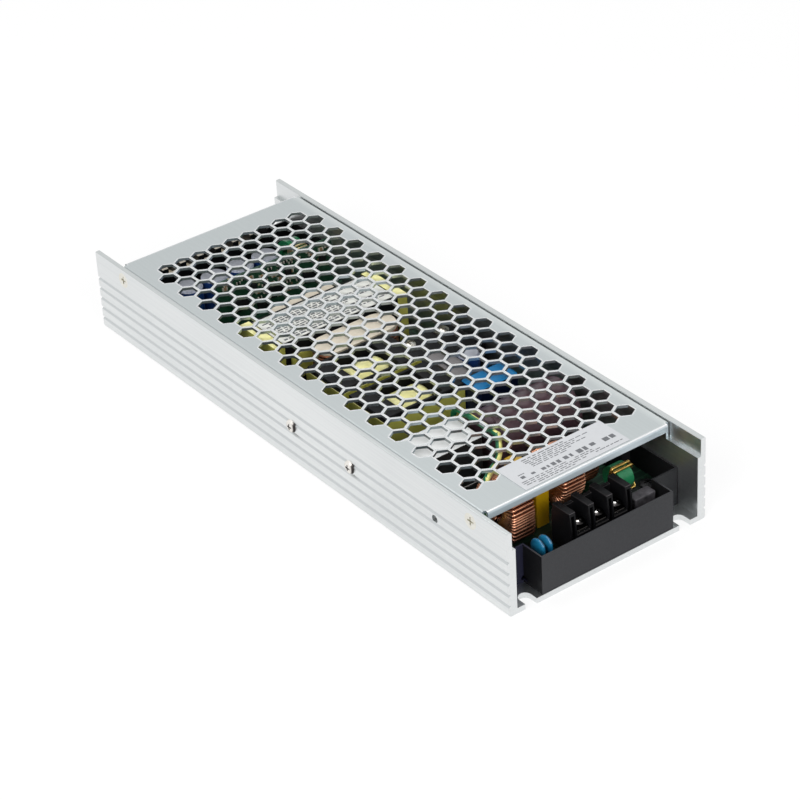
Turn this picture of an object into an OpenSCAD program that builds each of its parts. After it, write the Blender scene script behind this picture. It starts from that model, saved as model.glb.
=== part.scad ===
// Slim fanless switching power supply: grooved aluminium channel, perforated cover,
// barrier terminals at both open ends and the wound parts on one board inside.
// Millimetres, +Z up, +Y along the length, origin at the middle of the underside.

/* [Body] */
// Overall length of the extruded channel
body_length = 232; // [216:1:260]
// Overall width over the walls
body_width = 81; // [76:0.5:90]
// Overall height of the walls
body_height = 31; // [29:0.5:35]
// Thickness of the channel floor
base_thickness = 2; // [1.6:0.1:2.4]
// Thickness of the upper part of the walls
wall_upper = 2; // [1.6:0.1:2.4]
// Thickness of the lower part of the walls
wall_lower = 3.3; // [3:0.1:3.8]
// Distance from the wall top down to the ledge that carries the cover
ledge_drop = 6.7; // [6:0.1:7.4]
// Radius of the two bottom edges
foot_radius = 1; // [0.6:0.1:1.4]
// Radius of the two top edges
crest_radius = 0.5; // [0.3:0.1:0.8]
// Bevel on the inner top edge of each wall
crest_bevel = 0.35; // [0.2:0.05:0.6]

/* [Grooves] */
// Grooves up each wall
groove_count = 5; // [3:1:5]
// Height of the lowest groove above the underside
groove_first = 4; // [3.2:0.1:4.4]
// Spacing of the grooves up the wall
groove_pitch = 4.1; // [3.6:0.05:4.4]
// Mouth of a groove
groove_mouth = 1.3; // [0.8:0.1:1.6]
// Depth of a groove
groove_depth = 0.8; // [0.5:0.1:1]

/* [Mounting notches] */
// Distance of a notch from the outside of the wall
notch_side = 8.75; // [8:0.05:10]
// Width of a notch
notch_width = 4.6; // [4.2:0.1:5]
// Depth of a notch from the end of the channel
notch_depth = 5.2; // [4.6:0.1:5.6]

/* [Cover] */
// Thickness of the cover sheet
cover_sheet = 1; // [0.8:0.1:1.2]
// Distance of the cover from each end of the channel
cover_setback = 13.5; // [12:0.5:16]
// Depth of the cover top below the wall tops
cover_recess = 0.5; // [0.3:0.1:0.8]
// Side clearance between the cover and the upper walls
cover_gap = 0.3; // [0.2:0.05:0.5]
// Height of the turned down lip at each end of the cover
cover_lip = 2.6; // [2:0.1:3.2]
// Outer radius of the cover's folded edges
cover_bend = 0.8; // [0.5:0.1:1]
// Corner relief between a lip and a flange
cover_relief = 1.5; // [1.2:0.1:2]
// Spacing of the holes across the cover
hole_pitch = 7; // [6.6:0.05:7.6]
// Size of a hexagon across its flats
hole_flats = 6; // [4.8:0.1:6.2]
// Least plain strip along each side of the cover
hole_side_margin = 2.8; // [2:0.1:6]
// Least plain strip at each end of the cover
hole_end_margin = 9.8; // [6:0.1:14]
// Shift of the hole pattern across the cover
hole_shift_x = 0.5; // [-1:0.1:1]
// Shift of the hole pattern along the cover
hole_shift_y = 1; // [-2:0.1:2]

/* [Rating label] */
// Length of the label across the cover
label_long = 42.5; // [30:0.5:50]
// Width of the label along the cover
label_wide = 14.7; // [10:0.1:15]
// Thickness of the label film
label_thick = 0.15; // [0.1:0.05:0.3]
// Distance of the label from the end of the cover
label_inset = 1.5; // [1:0.1:3]
// Shift of the label from the centre line
label_shift = 0.75; // [-3:0.05:3]

/* [Screws] */
// Distance of the cover screws from the ends of the cover
cover_screw_inset = 4.2; // [3.6:0.1:8]
// Drop of the cover screws below the middle of the upper wall
cover_screw_drop = 0.85; // [0:0.05:1]
// Head diameter of the countersunk cover screws
cover_screw_head = 5.6; // [5:0.1:5.8]
// Reach of the cover screws past the cover flange
cover_screw_reach = 1.4; // [1:0.1:2]
// Thread diameter of all the small screws
screw_thread = 2.9; // [2.5:0.1:3]
// Clearance round a screw in a plain hole
screw_clearance = 0.3; // [0.2:0.05:0.5]
// Head diameter of the pan head screws
pan_head = 5.4; // [4.8:0.1:5.8]
// Head height of the pan head screws
pan_height = 1.5; // [1.2:0.1:2]
// Head diameter of the wall screws
wall_head = 4.8; // [4.4:0.1:5.6]
// Head height of the wall screws
wall_head_high = 1.6; // [1.1:0.1:1.8]
// Width of the cross recess in a screw
head_slot = 0.6; // [0.4:0.05:0.8]
// Depth of the cross recess in a screw
slot_depth = 0.8; // [0.5:0.1:1]
// Height of the wall screws above the underside
wall_screw_z = 14.8; // [12.6:0.1:15.2]
// Distance of the first wall screw behind the front of the middle parts
wall_screw_lag = 31.5; // [30:0.5:38]
// Spacing of the two wall screws
wall_screw_pitch = 32.5; // [28:0.5:36]
// Diameter of the plain hole in the left wall
plain_hole = 2.8; // [2.4:0.1:3.2]
// Distance of the plain hole from the mains end
plain_hole_y = 36; // [32:0.5:40]
// Height of the plain hole above the underside
plain_hole_z = 18; // [17:0.1:19]

/* [End insulators] */
// Half width of the upright front of an insulator
insulator_half = 27; // [24:0.1:27.4]
// Height of the upper edge above the underside
insulator_top = 16.2; // [14:0.1:18]
// Height of the sides of the output insulator above the underside
output_side_top = 19.2; // [16:0.1:21]
// Distance the insulator steps back at its sides
insulator_depth = 9.1; // [8.2:0.1:10]
// Thickness of the black insulating sheet
insulator_sheet = 0.6; // [0.4:0.1:0.8]
// Distance of the front from the end of the channel
insulator_inset = 0.2; // [0.1:0.1:0.6]
// Length of the skirts along the walls
skirt_length = 24; // [12:1:28]
// Clearance of the insulator from the walls
skirt_gap = 0.2; // [0.1:0.05:0.4]
// Diameter of the small hole beside each fold
fold_hole = 1.6; // [1:0.1:2]

/* [Board] */
// Height of the board standoffs
standoff_height = 3.6; // [3:0.1:4.4]
// Diameter of the board standoffs
standoff_size = 6; // [5:0.1:6.4]
// Distance of the standoffs from the long edges of the board
standoff_side = 4.2; // [3.6:0.1:5]
// Distance of the outer standoffs from the ends of the board
standoff_end = 7.7; // [6:0.1:9]
// Distance of the middle standoffs from the output end of the board
standoff_middle = 47.7; // [44:0.1:50]
// Thickness of the main board
board_thickness = 1.6; // [1.2:0.1:2]
// Clearance between the board and the walls
board_gap = 1; // [0.9:0.1:1.4]
// Clearance between the board and the insulators
board_clear = 0.4; // [0.2:0.1:0.8]
// Thickness of the film under the board
film_thick = 0.4; // [0.2:0.1:0.6]
// Clearance of the film round a standoff
film_gap = 0.4; // [0.2:0.1:0.8]

/* [Terminals] */
// Spacing of the poles
pole_pitch = 7.62; // [7.2:0.02:8]
// Poles of the mains block
mains_poles = 3; // [2:1:3]
// Poles of the output block
output_poles = 5; // [3:1:5]
// Thickness of a barrier
barrier = 2.5; // [2:0.1:2.8]
// Height of the barriers above the board
barrier_height = 14.8; // [13:0.1:16]
// Set back of a barrier at its top
barrier_slope = 0.9; // [0.4:0.1:1.6]
// Straight part of a barrier's front above the seat
barrier_straight = 2; // [1:0.1:3]
// Set back of the barriers from the rear of the block
barrier_rear = 0.4; // [0.2:0.1:0.8]
// Roof left over the slot in a barrier
barrier_roof = 1.4; // [1:0.1:2]
// Skin left beside the slot in the front of a barrier
barrier_skin = 0.7; // [0.5:0.05:0.9]
// Depth of the slot in the front of a barrier
barrier_slot = 3; // [2:0.1:4]
// Height of the wire seat above the board
seat_height = 6.4; // [5.8:0.1:7.4]
// Depth of a block along the length
block_depth = 9.7; // [9:0.1:10.6]
// Thickness of the wall behind the wire seats
block_back = 1.5; // [1.2:0.1:2]
// Height of the barriers over the wall behind the seats
block_back_drop = 2.4; // [1.5:0.1:3.5]
// Room between an insulator and its terminal block
block_room = 4; // [3.5:0.1:5]
// Shift of the mains block from the centre line
mains_x = 1.5; // [0:0.1:2]
// Room between the output block and the side of its insulator
output_room = 4.5; // [1.5:0.1:5]
// Thickness of a terminal plate
plate_thick = 0.8; // [0.6:0.1:1]
// Clearance round a terminal plate
plate_gap = 0.15; // [0.1:0.05:0.3]
// Thickness of the square washer under a terminal screw
washer_thick = 0.7; // [0.5:0.1:0.9]
// Clearance round the head of a terminal screw
head_gap = 0.2; // [0.15:0.05:0.4]
// Height of the head of a terminal screw
terminal_head_high = 1.9; // [1.5:0.1:2.2]
// Distance of the terminal screws from the front of the block
screw_back = 3; // [2.8:0.1:3.6]
// Depth of the terminal screws below the plate
screw_reach = 3.6; // [3:0.1:4.2]

/* [Mains parts] */
// Radius of a disc capacitor
disc_radius = 4.1; // [3.8:0.1:5]
// Thickness of a disc capacitor
disc_thick = 2.6; // [2.2:0.1:3.6]
// Height of the middle of a disc above the board
disc_rise = 5.1; // [5.1:0.1:7]
// Spacing between the two discs
disc_gap = 0.6; // [0.2:0.05:0.8]
// Room between the first disc and the side of the insulator
disc_side = 3.6; // [0.4:0.1:4.4]
// Room between a disc and the insulator front
disc_room = 3.2; // [2:0.1:4]
// Thickness of a disc's legs
disc_leg = 0.8; // [0.6:0.1:1]
// Spacing of a disc's legs
disc_leg_pitch = 4.8; // [4:0.1:6]
// Length of the fuse across the board
fuse_long = 8.6; // [7.6:0.1:9.2]
// Width of the fuse
fuse_wide = 4.3; // [3.8:0.1:4.8]
// Height of the fuse
fuse_high = 7.6; // [6.6:0.1:8.4]
// Room between the fuse and the insulator front
fuse_room = 4.8; // [4:0.1:5.4]
// Thickness of the box capacitor
box_thick = 5.2; // [4.6:0.1:5.8]
// Length of the box capacitor
box_long = 16.5; // [15:0.5:18]
// Height of the box capacitor
box_high = 18.8; // [16:0.1:19]
// Distance of the box capacitor's front before the middle of the first choke
box_lead = 7.2; // [5:0.1:9]
// Thickness of the earth wire
earth_wire_size = 2.2; // [1.2:0.1:2.3]
// Rounding of the moulded cases
case_round = 0.6; // [0.3:0.1:1]

/* [Chokes] */
// Clearance between the cover and the line chokes, where the earth wire crosses
choke_clearance = 2.7; // [2.4:0.1:3.5]
// Width of a line choke over its winding
choke_width = 10; // [9:0.1:10.4]
// Thickness of the choke wire
choke_wire = 1.2; // [0.9:0.1:1.4]
// Spacing of the turns on the rim, in wire thicknesses
turn_spacing = 1.18; // [1.12:0.02:1.5]
// Arc of a line choke that its winding covers
choke_arc = 338; // [280:1:345]
// Inner radius of a line choke core
choke_bore = 4.6; // [4.2:0.1:5.2]
// Place of the first line choke across the board
choke_a_x = -17.4; // [-19:0.1:-17]
// Room between the mains block and the first line choke
choke_room = 5.3; // [4:0.1:7]
// Set back of the second line choke behind the first
choke_b_lag = 2; // [0:0.1:3]
// Room between the first line choke and the box capacitor
box_room_a = 2; // [1:0.1:2.5]
// Room between the box capacitor and the second line choke
box_room_b = 5.4; // [4:0.1:6]
// Room between the second and the third line choke
choke_c_room = 0.5; // [0.3:0.1:1]
// Outer radius of the third line choke over its winding
choke_c_radius = 7.8; // [7:0.1:8.2]
// Inner radius of the third line choke core
choke_c_bore = 3.9; // [3.6:0.1:4.2]
// Outer radius of the green choke over its winding
green_radius = 5.7; // [5:0.1:6.2]
// Width of the green choke over its winding
green_width = 7.7; // [7:0.1:8.4]
// Inner radius of the green choke core
green_bore = 2.2; // [2:0.1:2.6]
// Thickness of the wire on the green choke
green_wire = 1.1; // [0.9:0.1:1.2]
// Place of the green choke across the board
green_x = 22.6; // [21.5:0.1:23]
// Room between the fuse and the green choke
green_room = 5.9; // [4:0.1:6.4]
// Room between the green choke and the third line choke
green_rear = 0.3; // [0.3:0.1:1]

/* [Middle parts] */
// Share of the spare length that lies before the middle parts
lead_share = 0.223; // [0.1:0.001:0.4]
// Clearance between the cover and the bulk capacitor
bulk_clearance = 1.3; // [1:0.1:2.5]
// Length of the bulk capacitor
bulk_long = 35; // [30:0.5:36]
// Width of the passage for the earth wire beside the bulk capacitor
wire_room = 3.4; // [2.8:0.1:3.8]
// Rolled groove from the foot of the bulk capacitor
bulk_roll = 3.4; // [2.8:0.1:4]
// Length of the relay across the board
relay_long = 23.6; // [22:0.1:24.4]
// Width of the relay along the board
relay_wide = 16.3; // [14:0.1:17]
// Height of the relay
relay_high = 18; // [16:0.1:18.8]
// Height of the relay's foot
relay_foot = 2; // [1:0.1:3]
// Step of the relay's foot beyond its case
relay_step = 0.3; // [0.1:0.1:0.6]
// Place of the left end of the relay
relay_left = -30; // [-31:0.1:-29]
// Set back of the relay behind the front of the middle parts
relay_lag = 4.1; // [2:0.1:5]
// Length of the film capacitor across the board
film_cap_long = 17.8; // [15:0.1:18.4]
// Width of the film capacitor along the board
film_cap_wide = 10.3; // [8:0.1:10.8]
// Height of the film capacitor
film_cap_high = 18.6; // [16:0.1:19]
// Rounding of the film capacitor
film_cap_round = 1.6; // [1:0.1:2.4]
// Room between the bulk capacitor and the film capacitor
film_cap_room = 4.4; // [3.5:0.1:5]
// Clearance between the boost chokes and the parts beside them
boost_room = 0.45; // [0.3:0.05:1]

/* [Boost chokes] */
// Half length of a boost choke core across the board
boost_half_x = 16.4; // [15:0.1:17]
// Half width of a boost choke core along the board
boost_half_y = 9.8; // [9:0.1:10.2]
// Clearance between the cover and the boost choke cores
boost_clearance = 3.1; // [2.6:0.1:4]
// Half width of the winding window in a boost choke
boost_window = 8.4; // [7:0.1:9]
// Wall of a boost choke core beside its window
boost_wall = 1.2; // [0.8:0.1:1.6]
// Radius of the round post in a boost choke
boost_post = 4.6; // [4:0.1:5]
// Clearance round a boost choke winding
boost_slack = 0.3; // [0.2:0.05:0.5]
// Rounding of the ends of a boost choke's winding
boost_round = 3.2; // [1:0.1:3.6]
// Room between the two boost chokes
boost_between = 3.3; // [1:0.1:4]
// Set back of the boost chokes behind the bulk capacitor
boost_lag = 10.85; // [9:0.05:12]
// Room between the clamp bar and the boost chokes
boost_bar_room = 5.55; // [3:0.05:6.5]
// Thickness of the tape on the wound parts
tape = 0.25; // [0.15:0.05:0.4]
// Height of the lower edge of the tape on a boost choke
tape_low = 3.5; // [2:0.1:5]
// Core left bare above the tape on a boost choke
tape_bare = 1.7; // [1:0.1:3]

/* [Power parts] */
// Thickness of the plates of the heatsinks
sink_plate = 2.5; // [2:0.1:3]
// Thickness of the upright web of the main heatsink
sink_web = 3; // [2:0.1:3.5]
// Height of the main heatsink
sink_high = 14; // [12:0.1:15]
// Length of the main heatsink along the board
sink_long = 17.5; // [15:0.1:18]
// Room between the wall and the main heatsink
sink_wall_room = 2.2; // [1.6:0.1:3]
// Room between a boost choke and the heatsinks
sink_room = 0.65; // [0.4:0.05:1]
// Room between the main heatsink and the series inductor
sink_rear = 2.5; // [1:0.1:3.5]
// Distance of the heatsink screws from the rear of the plate
sink_screw_y = 3.6; // [3:0.1:5]
// Distance of the first heatsink screw from the inner edge of the plate
sink_screw_x = 4.5; // [4.4:0.1:5]
// Spacing of the heatsink screws
sink_screw_pitch = 14.4; // [9.6:0.1:15]
// Width of the bridge heatsink across the board
bridge_wide = 9; // [7:0.1:9.6]
// Length of the bridge heatsink along the board
bridge_long = 17.3; // [14:0.1:17.6]
// Clearance between the cover and the bridge heatsink
bridge_clearance = 3.3; // [2.6:0.1:5]
// Radius of the bias capacitor
bias_radius = 4; // [3:0.1:4.4]
// Height of the bias capacitor
bias_high = 17; // [14:0.1:19]
// Place of the bias capacitor beside the bridge heatsink
bias_room = 1.3; // [0.6:0.1:3]
// Distance of the bias capacitor before the main heatsink
bias_lead = 2.7; // [1:0.1:6]
// Width of a transistor package
package_wide = 10; // [9:0.1:10.4]
// Clearance of the packages on the wall below the ledge
package_gap = 0.1; // [0.05:0.05:1]
// Thickness of a transistor package
package_thick = 4; // [3.4:0.1:4.4]
// Height of the leads below a package
lead_high = 3; // [2.4:0.1:4]
// Thickness of a lead
lead_size = 0.7; // [0.5:0.1:0.9]
// Spacing of the leads
lead_pitch = 2.5; // [2.2:0.02:2.8]
// Width of a flat package under the heatsink
flat_wide = 8.6; // [7.6:0.1:8.8]
// Length of a flat package under the heatsink
flat_long = 8.5; // [7.5:0.1:9.4]
// Distance of the screw from the rear of a flat package
flat_hole = 2.5; // [2:0.1:3]
// Distance of the packages on the wall from their screw
package_offset = 2.5; // [2:0.1:3]
// Thickness of the clamp bar
bar_thick = 2.2; // [1.8:0.1:2.6]
// Width of the clamp bar
bar_wide = 8; // [7:0.1:9]
// Reach of the clamp bar past its screws
bar_reach = 13; // [12.6:0.1:13.4]

/* [Series inductor] */
// Half length of the straight part of the series inductor
series_half = 10.2; // [8:0.1:11]
// Radius of the winding at the ends of the series inductor
series_r = 6.6; // [6:0.1:7]
// Step of the flanges inside the winding
series_step = 0.5; // [0.3:0.1:1]
// Height of the series inductor
series_high = 18.8; // [16:0.1:19]
// Thickness of the flanges
series_flange = 1.3; // [1:0.1:1.6]
// Radius of the core inside the winding
series_core = 3; // [2.4:0.1:3.4]
// Room before the series inductor
series_room = 0.4; // [0.3:0.1:1.5]
// Place of the series inductor across the board
series_x = 0.2; // [-2:0.1:2]

/* [Transformer] */
// Half length of the core across the board
trans_half_x = 27.7; // [25:0.1:28]
// Half width of the core along the board
trans_half_y = 10.4; // [9.6:0.1:11]
// Clearance between the cover and the core
trans_clearance = 2.3; // [1.8:0.1:3]
// Place of the transformer across the board
trans_x = 0.2; // [-1:0.1:1]
// Height of the core above the board
trans_floor = 1.2; // [1:0.1:1.6]
// Half width of the middle leg
trans_leg = 6; // [5:0.1:7]
// Thickness of the outer legs
trans_side = 6; // [5:0.1:7]
// Thickness of the lower yoke
yoke_low = 3.8; // [3:0.1:4.4]
// Thickness of the upper yoke
yoke_top = 4.4; // [3.6:0.1:5]
// Reach of the winding past the core
trans_bulge = 0.5; // [0.4:0.1:0.8]
// Reach of the winding past the rear of the core
trans_bulge_rear = 2; // [1:0.1:2.4]
// Rounding of the winding
winding_round = 1.5; // [0.8:0.1:2.5]
// Clearance round the winding in the core's windows
winding_gap = 0.2; // [0.1:0.05:0.4]
// Width of the tape over the ends of the core
trans_tape_wide = 3.6; // [2.5:0.1:5]
// Bare edge round the label on the core
trans_label_edge = 0.5; // [0.4:0.1:2]
// Distance of the transformer's label from the front and rear of the core
trans_label_end = 1.3; // [0.4:0.1:2]
// Half length of the bobbin's foot
foot_half = 17; // [14:0.5:20]
// Half length of the bobbin's rear shelf
shelf_half = 13; // [9:0.5:15]
// Shift of the rear shelf from the middle of the core
shelf_shift = 2.4; // [0:0.1:3]
// Height of the rear shelf
shelf_high = 16.4; // [12:0.1:17]
// Thickness of the rear shelf
shelf_thick = 3; // [2.5:0.1:4]
// Room between the winding and the rear shelf
shelf_room = 2.8; // [2:0.1:4]

/* [Output parts] */
// Room between the output block and the output choke
output_choke_room = 7.4; // [6:0.1:9]
// Room between the output choke and the control board
control_room = 1.7; // [1.2:0.1:3]
// Thickness of the control board
control_thick = 1.2; // [1:0.1:1.6]
// Length of the control board
control_long = 50; // [44:0.5:54]
// Height of the control board
control_high = 17.8; // [13:0.1:18]
// Distance of the control board from the edge of the main board
control_edge = 2.2; // [1.5:0.1:4]
// Output capacitors in the row
cap_count = 4; // [2:1:4]
// Radius of an output capacitor
cap_r = 5; // [4.4:0.1:5.2]
// Height of an output capacitor
cap_high = 15; // [12:0.1:18]
// Room between the output capacitors
cap_gap = 1; // [0.6:0.1:1.2]
// Place of the first output capacitor
cap_first_x = -21; // [-23:0.1:-20]
// Rolled groove from the foot of an output capacitor
cap_roll = 2.2; // [1.8:0.1:3]
// Room between the last output capacitor and the output choke
cap_choke_room = 5.7; // [2.5:0.1:6.2]
// Set back of the output choke behind the capacitors
output_choke_lag = 3; // [0:0.1:4]
// Outer radius of the output choke over its winding
out_radius = 7.6; // [7:0.1:8]
// Width of the output choke over its winding
out_width = 7; // [6.4:0.1:7.6]
// Inner radius of the output choke core
out_bore = 3.4; // [3:0.1:3.8]
// Thickness of the wire on the output choke
out_wire = 0.9; // [0.7:0.1:1.1]

/* [Small parts] */
// Width of the larger packages on the control board
chip_wide = 6; // [4:0.5:8]
// Thickness of the larger packages on the control board
chip_thick = 1.8; // [1.2:0.1:2.2]
// Height of the larger packages on the control board
chip_high = 4.6; // [3:0.1:5]
// Width of the smaller packages on the control board
dot_wide = 2.4; // [1.6:0.1:3]
// Thickness of the smaller packages on the control board
dot_thick = 1.4; // [1:0.1:1.8]
// Height of the smaller packages on the control board
dot_high = 2.2; // [1.4:0.1:3]
// Width of the packages in the rows on the main board
row_wide = 5; // [3:0.1:7]
// Depth of the packages in the rows on the main board
row_deep = 3.4; // [2.4:0.1:4.4]
// Height of the packages in the rows on the main board
row_high = 2.4; // [1.4:0.1:4]
// Width of the two upright parts beside the chokes
upright_wide = 3.6; // [3:0.1:4]
// Depth of the two upright parts beside the chokes
upright_deep = 7; // [5:0.1:7.4]
// Height of the two upright parts beside the chokes
upright_high = 9; // [6:0.1:12]
// Distance of the upright parts from the edge of the board
upright_side = 7.2; // [5:0.1:8]
// Spacing of the packages along a row
row_pitch_x = 10; // [8:0.5:12]
// Spacing of the rows
row_pitch_y = 6; // [5:0.5:8]
// Room between the rows and the control board
row_room = 3.6; // [3:0.1:5]

/* [Hidden] */
$fn = 48;
e = 0.01;
big = 400;

// channel and cover
wall_x = body_width / 2;
end_y = body_length / 2;
upper_in = wall_x - wall_upper;
lower_in = wall_x - wall_lower;
ledge_z = body_height - ledge_drop;
cover_x = upper_in - cover_gap;
cover_y = end_y - cover_setback;
cover_top = body_height - cover_recess;
cover_under = cover_top - cover_sheet;
cover_screw_y = cover_y - cover_screw_inset;
cover_screw_z = (ledge_z + body_height) / 2 - cover_screw_drop;
column_pitch = hole_pitch * sqrt(3) / 2;
hole_corner = hole_flats * 2 / sqrt(3);
notch_x = wall_x - notch_side;
hole_rows = floor((2 * (cover_x - hole_side_margin - abs(hole_shift_x)) - hole_flats) / hole_pitch) + 1;
hole_columns = floor((2 * (cover_y - hole_end_margin - abs(hole_shift_y)) - hole_corner)
                     / column_pitch) + 1;
cover_screw_sink = (cover_screw_head - screw_thread) / 2;
hole_size = screw_thread + screw_clearance;

// board and insulators
board_z = base_thickness + standoff_height;
top_z = board_z + board_thickness;
headroom = cover_under - top_z;
package_high = ledge_z - package_gap - top_z - lead_high;
sleeve = insulator_sheet;
ins_front = end_y - insulator_inset;
ins_back = ins_front - insulator_depth;
ins_inner = ins_front - sleeve;
side_inner = insulator_half - sleeve;
skirt_x = lower_in - skirt_gap;
board_x = lower_in - board_gap;
board_y = ins_back - sleeve - board_clear;
tongue_x = side_inner - board_clear;
tongue_y = ins_inner - board_clear;
standoff_x = board_x - standoff_side;
standoffs = [for (y = [standoff_end - board_y, board_y - standoff_middle, board_y - standoff_end],
                  s = [-1, 1]) [s * standoff_x, y]];

// terminal blocks
terminal_y = ins_inner - block_room;
bay = pole_pitch - barrier;
terminal_head = bay - 2 * head_gap;
mains_half = (mains_poles * pole_pitch + barrier) / 2;
output_half = (output_poles * pole_pitch + barrier) / 2;
output_x = output_half + output_room - side_inner;
output_used = [for (i = [0 : output_poles - 1]) if (i != floor(output_poles / 2)) i];

// parts behind the mains block
disc_y = disc_room + disc_radius - ins_inner;
disc_x = disc_side + disc_thick / 2 - side_inner;
fuse_x = (mains_x + mains_half + side_inner) / 2;
fuse_y = fuse_room - ins_inner;
choke_radius = (headroom - choke_clearance) / 2;
choke_core_wide = choke_width - 2 * choke_wire;
choke_a_y = block_depth + choke_room + choke_radius - terminal_y;
choke_b_y = choke_a_y + choke_b_lag;
box_x = choke_a_x + choke_width / 2 + box_room_a;
choke_b_x = box_x + box_thick + box_room_b + choke_width / 2;
choke_c_x = choke_b_x + choke_width + choke_c_room;
green_y = fuse_y + fuse_wide + green_room + green_radius;
choke_c_y = green_y + green_radius + choke_c_radius + green_rear;
wire_z = 2 * choke_radius + 0.1 + earth_wire_size / 2;

// parts before the output block
cap_y = terminal_y - block_depth - output_choke_room - out_radius;
control_y = cap_y - out_radius - control_room - control_thick;
control_x = board_x - control_edge - control_long;
caps_x = [for (i = [0 : cap_count - 1]) cap_first_x + i * (2 * cap_r + cap_gap)];
output_choke_x = caps_x[cap_count - 1] + cap_r + cap_choke_room + out_width / 2;
output_choke_y = cap_y + output_choke_lag;

// middle parts, one behind the other from the front of the bulk capacitor
bulk_r = (headroom - bulk_clearance) / 2;
bulk_x = relay_left + relay_long + wire_room;
boost_high = headroom - boost_clearance;
boost_deep = 2 * (boost_half_y + tape);
boost_r = min(boost_high / 2, boost_half_y - boost_wall) - boost_slack;
series_front = 2 * bulk_r + boost_lag + 2 * boost_deep + boost_between + series_room;
trans_front = series_front + 2 * series_r + series_room;
trans_back = trans_front + 2 * trans_half_y + trans_bulge + trans_bulge_rear + shelf_room + shelf_thick;
middle_front = choke_c_y + choke_c_radius;
spare = control_y - chip_thick - middle_front - trans_back;
middle_y = middle_front + spare * lead_share;
bulk_y = middle_y + bulk_r;
relay_y = middle_y + relay_lag;
film_cap_y = middle_y + 2 * bulk_r + film_cap_room;
boost_x = boost_bar_room + bar_thick + package_thick + tape + boost_half_x - lower_in;
boost_y = [for (i = [0, 1]) middle_y + 2 * bulk_r + boost_lag + (i + 0.5) * boost_deep + i * boost_between];
boost_right = boost_x + boost_half_x + tape;
film_cap_x = boost_right + boost_room;
series_y = middle_y + series_front + series_r;
trans_y = middle_y + trans_front + trans_bulge + trans_half_y;
trans_high = headroom - trans_clearance;
window_out = trans_half_x - trans_side;
wall_screws_y = [for (i = [0, 1]) middle_y + wall_screw_lag + i * wall_screw_pitch];
sink_x = boost_right + sink_room;
sink_right = lower_in - sink_wall_room;
sink_back = series_y - series_r - sink_rear;
sink_front = sink_back - sink_long;
sink_count = floor((sink_right - sink_web - sink_x - 2 * sink_screw_x) / sink_screw_pitch) + 1;
sink_screws = [for (i = [0 : sink_count - 1])
                 [sink_x + sink_screw_x + i * sink_screw_pitch, sink_back - sink_screw_y]];
bridge_y = film_cap_y + film_cap_wide + sink_room;
bridge_high = headroom - bridge_clearance;
bias_x = sink_x + bridge_wide + bias_room + bias_radius;
bias_y = sink_front - bias_lead - bias_radius;
row_count = max(0, floor((control_y - chip_thick - row_room - middle_y - trans_back) / row_pitch_y));

module both_x() { for (s = [0, 1]) mirror([s, 0, 0]) children(); }
module both_y() { for (s = [0, 1]) mirror([0, s, 0]) children(); }
module on_board(x, y) { translate([x, y, top_z]) children(); }
// a block given by its two opposite corners
module block(a, b) { translate(a) cube(b - a); }
// a plate outline with half round ends, lying flat
module stadium(half, r, h) {
  linear_extrude(height = h)
    union() {
      square([2 * half, 2 * r], center = true);
      translate([half, 0]) circle(r);
      translate([-half, 0]) circle(r);
    }
}
// capacitor can standing on height zero, rounded over and rolled in near its foot
module can(r, high, roll) {
  edge = 0.6;
  rotate_extrude()
    polygon([[0, 0], [r - edge, 0], [r, edge], [r, roll - 0.8], [r - edge, roll],
             [r, roll + 0.8], [r, high - edge], [r - edge, high], [0, high]]);
}
// a block given by its two opposite corners, with rounded upright edges
module soft_block(a, b, r) {
  w = b[0] - a[0];
  d = b[1] - a[1];
  translate(a) linear_extrude(height = b[2] - a[2])
    union() {
      translate([r, 0]) square([w - 2 * r, d]);
      translate([0, r]) square([w, d - 2 * r]);
      for (x = [r, w - r], y = [r, d - r]) translate([x, y]) circle(r);
    }
}
// what is cut away outside a rounded corner, the corner toward +X and +Y
module corner_cut(r) {
  difference() {
    square(2 * r);
    circle(r);
  }
}
// cross recess, opening upward at height zero
module cross_slot(size, deep) {
  for (a = [0, 90]) rotate([0, 0, a])
    translate([-size / 2, -head_slot / 2, -deep]) cube([size, head_slot, deep + 1]);
}
// pan head screw standing on height zero with its thread hanging below
module pan_screw(head, high, long) {
  difference() {
    union() {
      intersection() {
        cylinder(d = head, h = high);
        translate([0, 0, high - head]) sphere(r = head);
      }
      translate([0, 0, -long]) cylinder(d = screw_thread, h = long + e);
    }
    translate([0, 0, high]) cross_slot(head * 0.55, slot_depth);
  }
}

// channel section seen from the end
module channel_section() {
  difference() {
    translate([-wall_x, 0]) square([body_width, body_height]);
    translate([-lower_in, base_thickness]) square([2 * lower_in, body_height]);
    translate([-upper_in, ledge_z]) square([2 * upper_in, body_height]);
    for (s = [-1, 1])
      translate([s * upper_in, body_height])
        polygon([[-s * e, -crest_bevel], [s * crest_bevel, e], [-s * e, e]]);
    for (s = [-1, 1]) {
      for (i = [0 : groove_count - 1])
        translate([s * wall_x, groove_first + i * groove_pitch])
          polygon([[s * e, -groove_mouth / 2], [s * e, groove_mouth / 2],
                   [-s * groove_depth, 0]]);
      translate([s * (wall_x - foot_radius), foot_radius])
        rotate(s > 0 ? -90 : 180) corner_cut(foot_radius);
      translate([s * (wall_x - crest_radius), body_height - crest_radius])
        rotate(s > 0 ? 0 : 90) corner_cut(crest_radius);
    }
  }
}

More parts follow.
